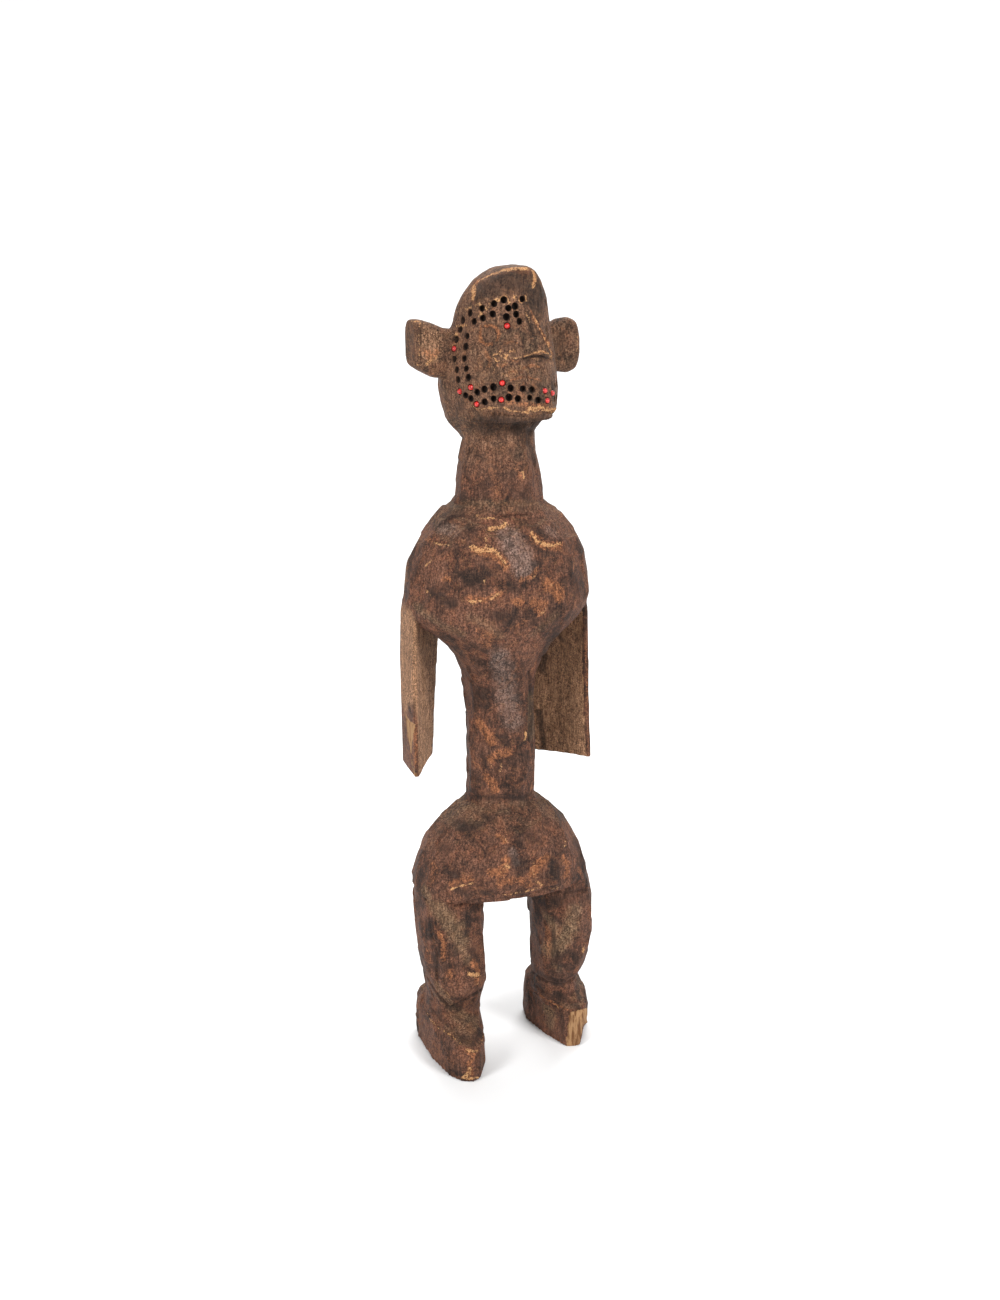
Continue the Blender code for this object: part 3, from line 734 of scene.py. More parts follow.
# Wear and patina, with painted shade, painted sheen and a painted highlight, as fields on the
# vertices that the material reads. Each row is half width in millimetres and strength, then pixels
# as in the relief lines.
wearAndPaintedLightLines = {
    "pale": (
        (1.9, 0.85, 479, 281, 486, 277.2, 494, 273.6),
        (2.6, 1.0, 496, 272.6, 504.4, 269.9, 515, 267.8, 527, 268.5),
        (2.4, 1.3, 473.4, 286.5, 474, 293, 472.6, 299),
        (2.3, 1.25, 533.5, 272, 535.2, 278, 533, 286),
        (1.7, 0.95, 476, 305, 480, 304.5, 484, 306, 486.5, 310),
        (1.6, 0.95, 478, 316, 481, 312.5, 483, 315),
        (1.4, 0.9, 490, 307.5, 490.4, 302.5, 494, 299.6, 498, 301),
        (1.3, 0.88, 499.5, 303, 500, 297.5, 504, 295, 508, 297.5, 509, 302),
        (1.4, 0.92, 514, 296.5, 518, 298, 520.5, 303, 526.5, 300, 526, 295.5),
        (1.5, 0.92, 457, 326, 462, 325.5, 466.5, 325), (1.4, 0.88, 466, 309, 471, 307.5),
        (1.7, 0.9, 455.5, 333.5, 458.5, 337, 457.5, 341), (1.6, 1.0, 453, 346, 456, 350),
        (1.1, 0.9, 494, 355, 498, 353.5, 501, 350), (1.1, 0.9, 493.5, 357, 497, 361, 499, 361),
        (1.0, 0.9, 500, 357, 504, 354, 508, 355, 506, 359),
        (1.0, 0.85, 509, 352, 513, 350, 516, 353), (1.2, 0.7, 492.5, 366, 494, 370),
        (1.2, 0.7, 519, 364, 520, 368.5), (1.3, 0.6, 505, 358, 515, 358.5, 524, 356),
        (1.1, 0.98, 524, 357, 531, 353.5, 540, 351.5, 547, 352.8, 552.5, 357.5),
        # the second row here is a painted highlight along the nose ridge, on its scratched edge
        (1.2, 0.7, 546, 362, 551, 364), (0.9, 0.85, 533, 316, 540, 329, 547, 342, 552, 354),
        (1.1, 0.8, 524, 311, 529, 318, 531, 326),
        (1.3, 0.9, 472, 406, 478, 409, 485, 409, 492, 407.5, 499, 408),
        (1.3, 0.95, 505, 408, 510, 411, 519, 411.5, 528, 413, 529, 407),
        (2.6, 1.0, 529, 409, 540, 408.5, 550, 410, 556, 410.5),
        (0.9, 0.5, 480.4, 329, 479.8, 335, 482, 341), (2.0, 0.85, 427, 363, 432, 360, 436, 357),
        (1.6, 0.7, 416, 365, 419, 366), (0.9, 0.72, 419, 324, 419.4, 342, 419, 362),
        (1.3, 0.8, 411, 322, 418, 321, 425, 323.5), (1.6, 0.4, 444, 350, 447, 345, 451, 339),
        (1.0, 0.6, 572, 322, 576, 330, 578, 345, 574, 358), (1.8, 0.8, 523, 473, 524, 478),
        (1.2, 0.9, 476, 514, 482, 518, 492, 518, 503, 521, 510, 526),
        (2.3, 1.05, 489, 529.5, 497, 529, 504, 526),
        (2.6, 0.95, 471, 547, 480, 551, 491, 548.6, 498, 553),
        (1.5, 0.9, 498, 553, 503, 560, 506, 566), (1.5, 0.8, 485, 536, 487, 545),
        (2.3, 1.0, 531.4, 533, 536, 540, 543, 544), (1.6, 0.95, 543, 544, 552, 545.5, 560, 544),
        (1.6, 0.7, 551, 584, 557, 590), (1.2, 0.9, 540, 614, 545, 611.5, 547, 608),
        (1.5, 1.0, 468.6, 600, 474, 601.5, 483, 600.7), (1.8, 0.9, 491, 598, 498.6, 594),
        (1.5, 0.9, 484, 581, 485, 583), (1.2, 0.9, 425.7, 565.7, 428, 563, 431.4, 561.4),
        (1.2, 0.9, 427, 590, 428, 594, 431, 595), (1.2, 0.8, 434, 543, 441, 544.5, 449, 545),
        (1.1, 0.8, 526, 582, 534, 577, 538, 569), (1.0, 0.6, 573, 555, 575, 562, 573, 570),
        (1.0, 0.6, 509, 655, 512, 658), (1.2, 0.6, 478, 722, 482, 726, 487, 736),
        (1.4, 0.6, 492, 766, 494, 769), (1.3, 0.6, 500, 760, 502, 768, 498, 773),
        (1.5, 1.0, 525.7, 732, 526, 736, 524, 741), (1.9, 0.8, 507, 861, 505, 868, 509, 867),
        (1.1, 0.8, 503, 837, 507, 843), (1.8, 0.75, 535, 864, 533, 872, 536, 881, 541, 884),
        (1.1, 0.9, 565, 840.5, 566, 844, 564, 847),
        (1.0, 0.95, 503, 895, 514, 894.3, 528.6, 890.7, 543, 886.4),
        (1.2, 0.85, 550, 888.6, 558.6, 887, 557, 891),
        (1.2, 0.9, 451.4, 889, 458.6, 886.4, 474.3, 883), (0.9, 0.7, 437, 932, 441, 934, 445, 942),
        (2.4, 1.0, 469, 974, 475, 975.5, 479.6, 974.8), (1.5, 0.95, 478, 984.5, 481, 981),
        (0.8, 0.7, 441.6, 981.6, 446, 990, 449.8, 998), (1.9, 1.05, 583, 947, 583, 952),
        (1.0, 1.2, 427, 1013, 428.5, 1016.5), (1.0, 1.2, 429.5, 1018, 431.5, 1021),
        (1.0, 1.2, 433.5, 1022, 435.5, 1025), (1.0, 1.2, 437, 1026, 439, 1029),
        (1.0, 1.2, 448.5, 1033, 450.5, 1036), (1.0, 1.2, 453, 1036, 455.5, 1039.5),
        (1.0, 1.0, 485, 1023, 484, 1035, 481, 1045), (1.0, 1.1, 443, 1029.5, 445, 1033),
        (1.0, 1.1, 459, 1041, 462, 1045), (1.7, 0.9, 467.4, 1049.4, 472, 1051, 477, 1050.8),
        (1.9, 1.05, 470, 1068, 469, 1074, 465, 1077),
        (1.7, 1.0, 462, 1077.5, 470, 1079, 478, 1077), (1.0, 0.7, 553, 1000, 557, 1006, 560, 1011),
        (0.8, 0.6, 574, 989, 575, 992), (0.8, 0.6, 572, 997, 573, 999),
        (1.7, 1.2, 412.5, 770, 415.5, 776), (0.9, 0.9, 582, 655, 583, 690, 584, 700)),
    "rust": (
        (4.0, 0.9, 477, 282, 492.5, 274.5, 504.4, 271, 515, 269, 530, 271),
        (3.2, 0.9, 473.4, 284, 474, 293, 472.6, 302), (1.2, 0.8, 504, 345, 510, 342, 517, 343),
        (1.3, 0.85, 497, 365, 502, 367, 506, 364), (1.3, 0.85, 510, 362, 514, 360.5, 519, 362),
        (1.2, 0.8, 508, 373, 515, 370.5, 522, 372.5),
        (1.2, 0.75, 511, 380.5, 522, 377, 533, 378, 541, 381),
        (1.6, 0.8, 523, 368, 531, 365.5, 540, 367.5), (2.2, 0.7, 486, 352, 490, 360, 488, 368),
        # painted highlight along the nose ridge, on its scratched edge
        (1.5, 0.9, 531, 312, 540, 329, 547, 342, 552, 354),
        (2.0, 0.75, 496, 327, 499, 333, 497, 340), (2.4, 0.7, 505, 402, 520, 404, 545, 405),
        (1.6, 1.0, 481, 327, 479.5, 334, 481, 341, 486, 344.5, 492, 344),
        (1.6, 1.0, 486, 326, 491, 325.6, 496, 328, 498.5, 333, 498, 339),
        (4.0, 0.7, 426, 352, 432, 358, 437, 352), (3.0, 0.6, 422, 372, 432, 375),
        (2.2, 0.6, 560, 326, 566, 332, 570, 345), (5.0, 0.5, 490, 470, 500, 490, 495, 500),
        (4.0, 0.5, 515, 465, 522, 480), (4.6, 0.9, 474, 549, 486, 552, 500, 556, 506, 566),
        (4.5, 0.9, 533, 536, 545, 546, 560, 546), (7.0, 0.95, 548, 585, 556, 588, 560, 596),
        (4.0, 0.9, 514, 601, 521, 602), (5.0, 0.8, 540, 612, 533, 602, 545, 604),
        (3.6, 0.8, 470, 598, 485, 600, 500, 594), (3.4, 0.85, 445, 578, 449, 580),
        (3.0, 0.8, 426, 538, 430, 541), (3.0, 0.8, 521, 580, 530, 578, 537, 570),
        (4.0, 0.6, 574, 558, 574, 570), (6.0, 0.6, 480, 632, 492, 636, 486, 645),
        (5.0, 0.5, 512, 628, 525, 622), (5.5, 0.95, 479, 722, 486, 732, 491, 741),
        (5.0, 0.85, 491, 759, 500, 754, 509, 752), (5.0, 0.85, 486, 777, 492, 783, 496, 790),
        (3.5, 0.7, 474, 763, 480, 768), (5.0, 0.95, 506, 860, 503, 872, 492, 872),
        (3.0, 0.8, 498, 836, 505, 842), (5.5, 1.0, 533, 872, 539, 864, 547, 859),
        (4.0, 0.9, 563, 858, 568, 866, 566, 876), (3.5, 0.6, 578, 868, 581, 874),
        (5.0, 0.7, 500, 884, 515, 880, 530, 884), (4.0, 0.7, 450, 884, 462, 880, 472, 879),
        (4.0, 0.6, 430, 858, 436, 868, 432, 880), (4.0, 0.5, 465, 838, 474, 836),
        (5.0, 0.5, 538, 824, 545, 828), (3.0, 0.9, 438.6, 933, 444, 944, 443, 960),
        (3.0, 0.7, 428, 950, 430, 962), (3.6, 0.8, 449, 972, 452, 978),
        (4.0, 0.9, 473, 962, 478, 970, 478, 980), (4.5, 0.6, 545, 925, 550, 940, 548, 955),
        (1.3, 0.8, 531, 989, 545, 999, 556, 1004.5, 568, 1010),
        (3.0, 0.9, 468, 1051, 474, 1056, 471, 1062), (4.0, 0.8, 470, 1064, 470, 1074),
        (6.0, 0.4, 430, 1040, 445, 1055, 455, 1065), (3.0, 0.6, 556, 1032, 560, 1040),
        (3.4, 0.8, 414, 728, 414.5, 745, 414, 765), (2.0, 0.6, 586, 640, 587, 690, 589, 748)),
    # dark patina, and painted shade in creases, beside and under the nose, under the jaw and
    # beside the arms
    "patinaAndPaintedShade": (
        (6.0, 0.9, 528, 300, 536, 304, 543, 309), (5.0, 0.6, 484, 276, 497, 283, 505, 279),
        # painted shadow beside the nose and under its ledge
        (2.6, 0.8, 528, 317, 531, 327, 533, 338), (2.0, 0.7, 526, 361.5, 536, 361, 547, 362),
        (6.0, 0.5, 466, 385, 462, 400, 455, 415), (5.0, 0.45, 500, 390, 520, 384, 545, 386),
        (1.1, 0.6, 489, 328, 495, 330.5, 496, 335, 493, 340, 488, 341.5, 483.5, 338, 483.5, 332,
         489, 328), (5.0, 0.5, 556, 345, 562, 355), (9.0, 0.35, 478, 448, 486, 470, 480, 494),
        (5.0, 0.8, 520, 432, 530, 445, 534, 462), (4.0, 0.7, 530, 485, 522, 496, 532, 500),
        # the first row here is painted shade on the neck under the jaw
        (4.0, 0.7, 470, 425, 485, 432, 500, 436), (4.0, 0.6, 478, 455, 486, 460),
        (4.5, 0.9, 483, 570, 488, 573), (7.0, 0.8, 495, 615, 510, 618),
        (6.0, 0.85, 434, 592, 442, 600, 452, 604), (4.0, 0.7, 468, 527, 474, 532),
        (4.5, 0.7, 520, 521, 530, 525, 540, 531), (5.0, 0.7, 572, 575, 580, 585, 574, 597),
        (4.0, 0.6, 455, 630, 465, 640, 468, 650), (5.0, 0.8, 478, 690, 482, 705),
        # the second row here darkens the hollow beside the trunk's ridge: patina and painted shade
        (4.0, 0.8, 468, 665, 472, 690, 474, 710), (4.5, 0.9, 531, 690, 531, 710, 530, 735),
        (5.0, 0.75, 500, 738, 508, 745), (5.0, 0.7, 510, 760, 516, 768),
        (3.0, 0.8, 471, 797, 490, 797, 505, 796, 522, 798, 533, 792),
        (5.0, 0.8, 485, 815, 493, 820), (6.5, 0.75, 522, 830, 533, 838),
        (7.0, 0.8, 458, 822, 468, 832, 478, 828), (5.5, 0.85, 514, 858, 522, 867, 518, 873),
        (6.5, 0.85, 552, 862, 556, 876), (5.0, 0.7, 440, 846, 448, 850),
        (7.0, 0.7, 575, 842, 582, 856, 585, 870), (4.0, 0.75, 456, 890, 470, 893, 490, 892),
        (5.0, 0.7, 446, 868, 455, 876), (4.0, 1.0, 468.6, 913, 468.6, 925, 466, 934),
        (4.5, 0.95, 452, 946, 454, 955), (3.6, 0.9, 430, 920, 431, 937),
        (4.0, 0.8, 434, 956, 437, 968), (5.0, 0.7, 470, 948, 476, 958),
        (1.6, 1.0, 436.2, 969, 437, 980.5), (1.6, 1.0, 444, 978, 444.6, 984),
        (4.0, 0.9, 453, 998, 462, 999, 458, 1009), (6.0, 0.85, 538, 898, 548, 905, 560, 902),
        (4.5, 0.8, 534, 925, 538, 936), (4.0, 0.7, 553, 935, 556, 955),
        (4.0, 0.8, 538, 972, 550, 979, 563, 981),
        (2.2, 0.6, 430, 1006, 441, 1019, 454, 1030, 466, 1039),
        (2.2, 0.55, 537, 985, 549, 994, 560, 1000, 572, 1004),
        (5.0, 0.8, 462, 1038, 472, 1043, 480, 1032), (4.5, 0.7, 480, 1055, 480, 1067),
        (4.0, 0.7, 560, 995, 572, 1004, 578, 1008), (4.0, 0.7, 562, 1015, 562, 1030),
        (1.8, 1.0, 585, 999, 585.5, 1003), (3.0, 0.9, 408, 706, 411, 713, 416, 717),
        (1.2, 0.9, 419.5, 716, 419.6, 728, 419.2, 740),
        # painted shade in the gap between the trunk and the left arm
        (4.4, 1.5, 556, 630, 550, 639, 545, 652, 541, 668), (3.0, 1.0, 556, 630, 562, 640),
        (3.2, 1.2, 539, 712, 541, 725, 543, 738, 543, 748)),
    # polished patches: the grey colour is a painted reflection, the lower roughness is the polish
    "polishAndPaintedSheen": (
        (12.0, 0.9, 509, 536, 517, 551, 524, 567), (7.0, 0.6, 443, 528, 455, 531),
        (6.0, 0.55, 548, 530, 555, 534), (11.0, 0.68, 500, 655, 504, 680, 508, 705, 514, 722),
        (4.5, 0.8, 512, 852, 517, 862)),
    "raw": (
        (16.0, 0.95, 566, 640, 567, 680, 568, 720, 570, 745),
        (9.0, 0.9, 553, 690, 553, 720, 555, 742)),
    "dust": (
        (4.5, 0.42, 452, 508, 475, 509, 500, 510, 530, 508, 550, 509),
        (4.0, 0.55, 440, 512, 430, 522),
        (4.5, 0.55, 452, 508, 468, 504, 500, 504, 535, 503, 552, 510),
        (5.0, 0.6, 416, 606, 430, 618, 446, 628, 462, 634),
        (5.5, 0.5, 470, 618, 486, 624, 500, 636), (4.5, 0.45, 532, 634, 545, 626, 556, 614),
        (5.5, 0.4, 480, 803, 505, 806, 535, 803, 548, 812), (5.0, 0.4, 440, 830, 430, 848),
        (6.0, 0.6, 455, 812, 470, 806, 486, 812), (6.0, 0.7, 424, 890, 432, 905, 450, 918),
        (5.0, 0.7, 462, 925, 460, 945, 468, 962), (5.0, 0.7, 545, 915, 556, 930, 560, 950),
        (5.0, 0.65, 437, 985, 452, 1006, 470, 1020),
        (9.0, 0.85, 438, 908, 446, 918, 456, 932, 462, 945), (4.5, 0.5, 462, 935, 456, 945),
        (4.0, 0.5, 434, 994, 446, 1004, 455, 1016),
        (9.0, 0.8, 575, 912, 570, 930, 560, 944, 548, 950), (4.0, 0.5, 553, 965, 560, 970),
        (6.5, 0.75, 546, 1008, 552, 1014, 550, 1024), (5.0, 0.9, 529, 695, 530, 715, 532, 735)),
    "fresh": (
        (1.6, 1.1, 410.8, 742, 411.2, 754, 412.6, 766, 415.7, 776),)}


def wanderingPlaces(points):
    # Lets a drawn line wander a little, as a chipped edge does
    wander = np.array([noise.noise_vector(Vector(point) * 240) + noise.noise_vector(
        Vector(point) * 620) * 0.6 for point in points])
    return points + wander * figureValues["wearWander"]


def wearAndPaintedLightFields(points, normals, tree):
    points = wanderingPlaces(points)
    fields = {kind: np.zeros(len(points)) for kind in wearAndPaintedLightLines}
    # Cut lines are painted darker than the wood beside them, as painted shade in the grooves
    lines = [("patinaAndPaintedShade", halfWidth * 0.8, min(0.8, 0.25 - 0.3 * rise), numbers)
             for halfWidth, rise, *numbers in reliefLines if rise < 0]
    lines += [(kind, halfWidth, strength, numbers) for kind, rows in wearAndPaintedLightLines.items()
              for halfWidth, strength, *numbers in rows]
    for kind, halfWidth, strength, numbers in lines:
        placed = castLine(tree, pixelPairs(numbers))
        if len(placed) < 2:
            continue
        inside, distance = lineDistance(points, normals, placed, halfWidth / 1000 * 1.9)
        value = strength * (1 - smoothStep(distance / (halfWidth / 1000), 0.25, 1.8))
        fields[kind][inside] = np.maximum(fields[kind][inside], value)
    return fields


points = readPoints(figureWood.data)
normals = readNormals(figureWood.data)
edges = readEdges(figureWood.data)
count = len(points)
arms, ears, heights, across = regionMasks(points)
tree = surfaceTree()
fields = wearAndPaintedLightFields(points, normals, tree)


def surfaceBend(points, normals, passes):
    # Above zero on edges, below zero in hollows
    bend = ((points - neighbourMean(points, edges, count)) * normals).sum(axis=1)[:, None]
    length = np.linalg.norm(points[edges[:, 0]] - points[edges[:, 1]], axis=1)
    spacing = (np.bincount(edges[:, 0], length, count) + np.bincount(edges[:, 1], length, count)
               ) / np.maximum(np.bincount(edges.ravel(), minlength=count), 1)
    bend = bend / np.maximum(spacing, 1e-5)[:, None]
    for step in range(passes):
        bend = neighbourMean(bend, edges, count) * 0.6 + bend * 0.4
    return bend[:, 0]


bend = surfaceBend(points, normals, 3)
fields["edge"] = smoothStep(bend, 0.05, 0.22)
fields["hollow"] = smoothStep(-bend, 0.04, 0.20)


def hiddenWearAndPaintedSheen(points, normals):
    # The sides that the photograph doesn't show get plainer wear of the same kinds, and spots of
    # painted sheen
    chance = random.Random(21)
    toEye = np.array(eyePoint[:]) - points
    toEye /= np.linalg.norm(toEye, axis=1)[:, None]
    facing = (toEye * normals).sum(axis=1)
    hidden = np.nonzero((facing < -0.05) & (heights > 4))[0]
    for kind, amount, low, high in (("rust", 46, 4, 9), ("patinaAndPaintedShade", 52, 5, 10), ("pale", 26, 0.8, 2),
                                    ("dust", 26, 6, 14), ("polishAndPaintedSheen", 22, 5, 11)):
        for spot in range(amount if len(hidden) else 0):
            index = hidden[chance.randrange(len(hidden))]
            size = chance.uniform(low, high) / 1000
            offset = (points - points[index]) * np.array((1, 1, chance.uniform(0.45, 0.9)))
            distance = np.linalg.norm(offset, axis=1)
            value = chance.uniform(0.5, 0.9) * (1 - smoothStep(distance / size, 0.25, 1.6))
            same = (normals @ normals[index]) > 0.1
            fields[kind] = np.maximum(fields[kind], value * same)


hiddenWearAndPaintedSheen(points, normals)
innerArm = (arms > 0.5) * smoothStep(-normals[:, 0] * np.sign(across), 0.25, 0.8)
fields["raw"] = np.maximum(fields["raw"], innerArm * 0.75)

# kind, strength and outline in the photograph's pixels of surfaces with one finish or with painted
# shade
wearAndPaintedShadeOutlines = (
    ("fresh", 1.3, footBreak),
    ("raw", 0.45, ((420.5, 323), (431, 326), (443, 332), (444, 352), (440, 365), (424, 367),
                   (420.5, 360))),
    # painted shade on the outer side of the right ear
    ("patinaAndPaintedShade", 0.42, ((404, 320), (418.5, 323), (418.5, 362), (408, 368), (404, 360))),
    ("fresh", 1.3, ((405.5, 714), (410, 721), (415.5, 724.5), (413, 733), (411.8, 745),
                    (409.8, 745), (408, 735), (406.5, 726))),
    ("patinaAndPaintedShade", 0.75, ((470, 300), (480, 278), (500, 268), (532, 268), (546, 292), (547, 312),
                    (530, 298), (505, 294), (482, 302), (470, 312))),
    ("raw", 0.66, ((388, 598), (402, 604), (409, 606), (421, 628), (423.5, 660), (424, 716),
                   (420, 724), (415, 712), (410, 706), (405, 717), (401, 700), (395, 716),
                   (388, 706))),
    ("raw", 1.0, ((424, 640), (440, 640), (440, 760), (424, 765), (420, 730))),
    # painted shade under the jaw, with patina
    ("patinaAndPaintedShade", 0.95, ((470, 417), (498, 415), (520, 419), (541, 417), (557, 417), (553, 428),
                    (530, 437), (500, 434), (478, 428))))


def fillOutlines(points, normals):
    across, down = pixelPlaces(points)
    toEye = np.array(eyePoint[:]) - points
    facing = (toEye * normals).sum(axis=1) > 0
    for kind, strength, outline in wearAndPaintedShadeOutlines:
        value = (insideOutline(across, down, outline) & facing) * strength
        # A fresh break keeps a crisp edge, older wear and painted shade fade out
        for repeat in range(1 if kind == "fresh" else 6):
            value = neighbourMean(value[:, None], edges, count)[:, 0] * 0.5 + value * 0.5
        fields[kind] = np.maximum(fields[kind], value)


def boreField(points):
    # The inside of every drilled hole
    inside = np.zeros(count)
    finder = pointTree([hole[0] for hole in drilled])
    for index in np.nonzero(points[:, 2] > 0.62)[0]:
        found, number, distance = finder.find(Vector(points[index]))
        if distance > 0.0062:
            continue
        place, direction, holdsSeed = drilled[number]
        offset = Vector(points[index]) - place
        depth = -offset.dot(direction)
        away = (offset + direction * depth).length
        if away < figureValues["holeDiameter"] * 0.62:
            inside[index] = min(1.0, max(0.0, (depth - 0.0002) / 0.0010))
    return inside


fillOutlines(points, normals)
# The left arm's outer edge keeps its patina beside the bare inner face
outerEdge = insideOutline(*pixelPlaces(points),
                          ((582.5, 600), (594, 600), (594, 765), (587, 765), (583.5, 700)))
fields["raw"][outerEdge] = 0
topDust = smoothStep(normals[:, 2], 0.35, 0.85) * 0.55 * smoothStep(heights, 20, 30)
headDust = smoothStep(heights, 545, 620) * 0.5
fields["dust"] = np.maximum(fields["dust"], np.maximum(topDust, headDust))
fields["bore"] = boreField(points)
local = headPlace(points)
cheek = np.exp(-((np.abs(local[:, 0]) - 20) / 17) ** 2 - ((local[:, 2] - 676) / 12) ** 2)
fields["scratch"] = 0.3 + 0.7 * cheek * (local[:, 1] < 0)
for name, values in fields.items():
    attribute = figureWood.data.attributes.new(name, "FLOAT", "POINT")
    attribute.data.foreach_set("value", values.astype(np.float32))
print("wear fields written")

figureWood.data.shade_smooth()
figureWood.data.set_sharp_from_angle(angle=math.radians(figureValues["sharpAngle"]))


def newMaterial(name):
    material = bpy.data.materials.new(name)
    material.use_nodes = True
    return material, material.node_tree


def linkInput(tree, socket, value):
    if isinstance(value, bpy.types.NodeSocket):
        tree.links.new(value, socket)
    else:
        socket.default_value = value


def addNoise(tree, coordinates, scale, detail=4.0, roughness=0.55, distortion=0.0):
    made = tree.nodes.new("ShaderNodeTexNoise")
    tree.links.new(coordinates, made.inputs["Vector"])
    made.inputs["Scale"].default_value = scale
    made.inputs["Detail"].default_value = detail
    made.inputs["Roughness"].default_value = roughness
    made.inputs["Distortion"].default_value = distortion
    return made.outputs["Fac"]


def addStep(tree, value, low, high, floor=0.0, ceiling=1.0):
    made = tree.nodes.new("ShaderNodeMapRange")
    made.interpolation_type = "SMOOTHSTEP"
    tree.links.new(value, made.inputs["Value"])
    made.inputs["From Min"].default_value = low
    made.inputs["From Max"].default_value = high
    made.inputs["To Min"].default_value = floor
    made.inputs["To Max"].default_value = ceiling
    return made.outputs["Result"]


def addMath(tree, operation, first, second):
    made = tree.nodes.new("ShaderNodeMath")
    made.operation = operation
    linkInput(tree, made.inputs[0], first)
    linkInput(tree, made.inputs[1], second)
    return made.outputs["Value"]


def addMix(tree, share, first, second, blend="MIX"):
    made = tree.nodes.new("ShaderNodeMix")
    made.data_type = "RGBA"
    made.blend_type = blend
    linkInput(tree, made.inputs["Factor"], share)
    linkInput(tree, made.inputs["A"], first)
    linkInput(tree, made.inputs["B"], second)
    return made.outputs["Result"]


def addStretch(tree, coordinates, scale):
    made = tree.nodes.new("ShaderNodeMapping")
    tree.links.new(coordinates, made.inputs["Vector"])
    made.inputs["Scale"].default_value = scale
    return made.outputs["Vector"]


def addField(tree, name):
    made = tree.nodes.new("ShaderNodeAttribute")
    made.attribute_name = name
    return made.outputs["Fac"]


woodValues = {
    "dark": (0.031, 0.017, 0.012, 1), "brown": (0.126, 0.057, 0.035, 1),
    "red": (0.149, 0.055, 0.031, 1), "paintedSheenGrey": (0.205, 0.138, 0.112, 1),
    # the darkest tone paints patina and painted shade
    "patinaAndPaintedShade": (0.018, 0.012, 0.010, 1), "rust": (0.275, 0.102, 0.042, 1),
    "pale": (0.560, 0.310, 0.138, 1), "raw": (0.285, 0.154, 0.086, 1),
    "dust": (0.152, 0.093, 0.053, 1), "fresh": (0.370, 0.210, 0.100, 1),
    "freshDark": (0.150, 0.066, 0.028, 1)}

woodMaterial, wood = newMaterial("agedWood")
shader = wood.nodes["Principled BSDF"]
objectPlace = wood.nodes.new("ShaderNodeTexCoord").outputs["Object"]
grainPlace = addStretch(wood, objectPlace, (1, 1, 0.16))
field = {name: addField(wood, name) for name in fields}
cloud = addNoise(wood, objectPlace, 30, 6, 0.62, 0.4)
patch = addNoise(wood, objectPlace, 85, 5, 0.66, 0.8)
broadPatch = addNoise(wood, objectPlace, 48, 3, 0.6, 0.6)
ragged = addNoise(wood, objectPlace, 260, 6, 0.80, 1.2)
fleck = addNoise(wood, objectPlace, 620, 4, 0.78, 0.4)
curl = addNoise(wood, objectPlace, 210, 2, 0.5, 1.5)
grain = addNoise(wood, grainPlace, 640, 4, 0.7, 0.3)
broadGrain = addNoise(wood, grainPlace, 260, 5, 0.7, 0.5)


def raggedMask(name, low, high, wobble):
    # A field whose edge is broken up by noise
    breakUp = addMath(wood, "SUBTRACT", addMath(wood, "ADD", ragged, addMath(
        wood, "MULTIPLY", fleck, 0.6)), 0.8)
    breakUp = addMath(wood, "MULTIPLY", breakUp, wobble)
    value = addMath(wood, "MULTIPLY", field[name], addMath(wood, "ADD", breakUp, 1.0))
    return addStep(wood, value, low, high)


def shareOf(mask, share):
    return addMath(wood, "MULTIPLY", mask, share)


def tinted(colour, mask, share, tone):
    return addMix(wood, shareOf(mask, share), colour, woodValues[tone])


colour = addMix(wood, addStep(wood, cloud, 0.34, 0.62), woodValues["dark"], woodValues["brown"])
colour = tinted(colour, addStep(wood, patch, 0.44, 0.64), 0.65, "red")
# field, where its mask starts and is full, how far noise breaks it up
masks = {name: raggedMask(name, low, high, wobble) for name, low, high, wobble in (
    ("dust", 0.10, 1.05, 1.8), ("raw", 0.15, 0.75, 1.6), ("polishAndPaintedSheen", 0.15, 1.0, 1.6),
    ("rust", 0.35, 1.0, 3.6), ("patinaAndPaintedShade", 0.2, 1.0, 2.6), ("pale", 0.58, 0.92, 4.2),
    ("fresh", 0.42, 0.62, 1.6))}
# the polished patches' grey tone is a painted reflection
for name, share, tone in (("dust", 0.85, "dust"), ("raw", 1.0, "raw"), ("polishAndPaintedSheen", 0.55, "paintedSheenGrey"),
                          ("rust", 0.7, "rust"), ("patinaAndPaintedShade", 0.72, "patinaAndPaintedShade")):
    colour = tinted(colour, masks[name], share, tone)
smoothPlaces = addMath(wood, "MAXIMUM", addStep(wood, broadPatch, 0.46, 0.62, 0.0, 0.45),
                       shareOf(masks["rust"], 0.55))
# pattern, the noise values it runs between, its darkest and lightest shade
for pattern, low, high, darkest, lightest in ((ragged, 0.40, 0.60, 0.68, 1.28),
                                              (fleck, 0.41, 0.59, 0.40, 1.50),
                                              (broadGrain, 0.38, 0.62, 0.82, 1.16),
                                              (grain, 0.40, 0.60, 0.70, 1.30)):
    shade = addStep(wood, pattern, low, high, darkest, lightest)
    if pattern is fleck:
        shade = addMix(wood, smoothPlaces, shade, (1, 1, 1, 1))
    colour = addMix(wood, 1.0, colour, shade, "MULTIPLY")
rustFleck = addMath(wood, "MULTIPLY", addStep(wood, fleck, 0.55, 0.63),
                    addStep(wood, patch, 0.42, 0.62))
colour = tinted(colour, rustFleck, 0.28, "rust")
curlLine = addStep(wood, addMath(wood, "ABSOLUTE", addMath(wood, "SUBTRACT", curl, 0.5), 0),
                   0.008, 0.030, 1.0, 0.0)
curlLine = addMath(wood, "MULTIPLY", curlLine, addStep(wood, patch, 0.50, 0.58))
curlLine = addMath(wood, "MULTIPLY", curlLine, field["scratch"])
colour = tinted(colour, curlLine, 0.5, "pale")
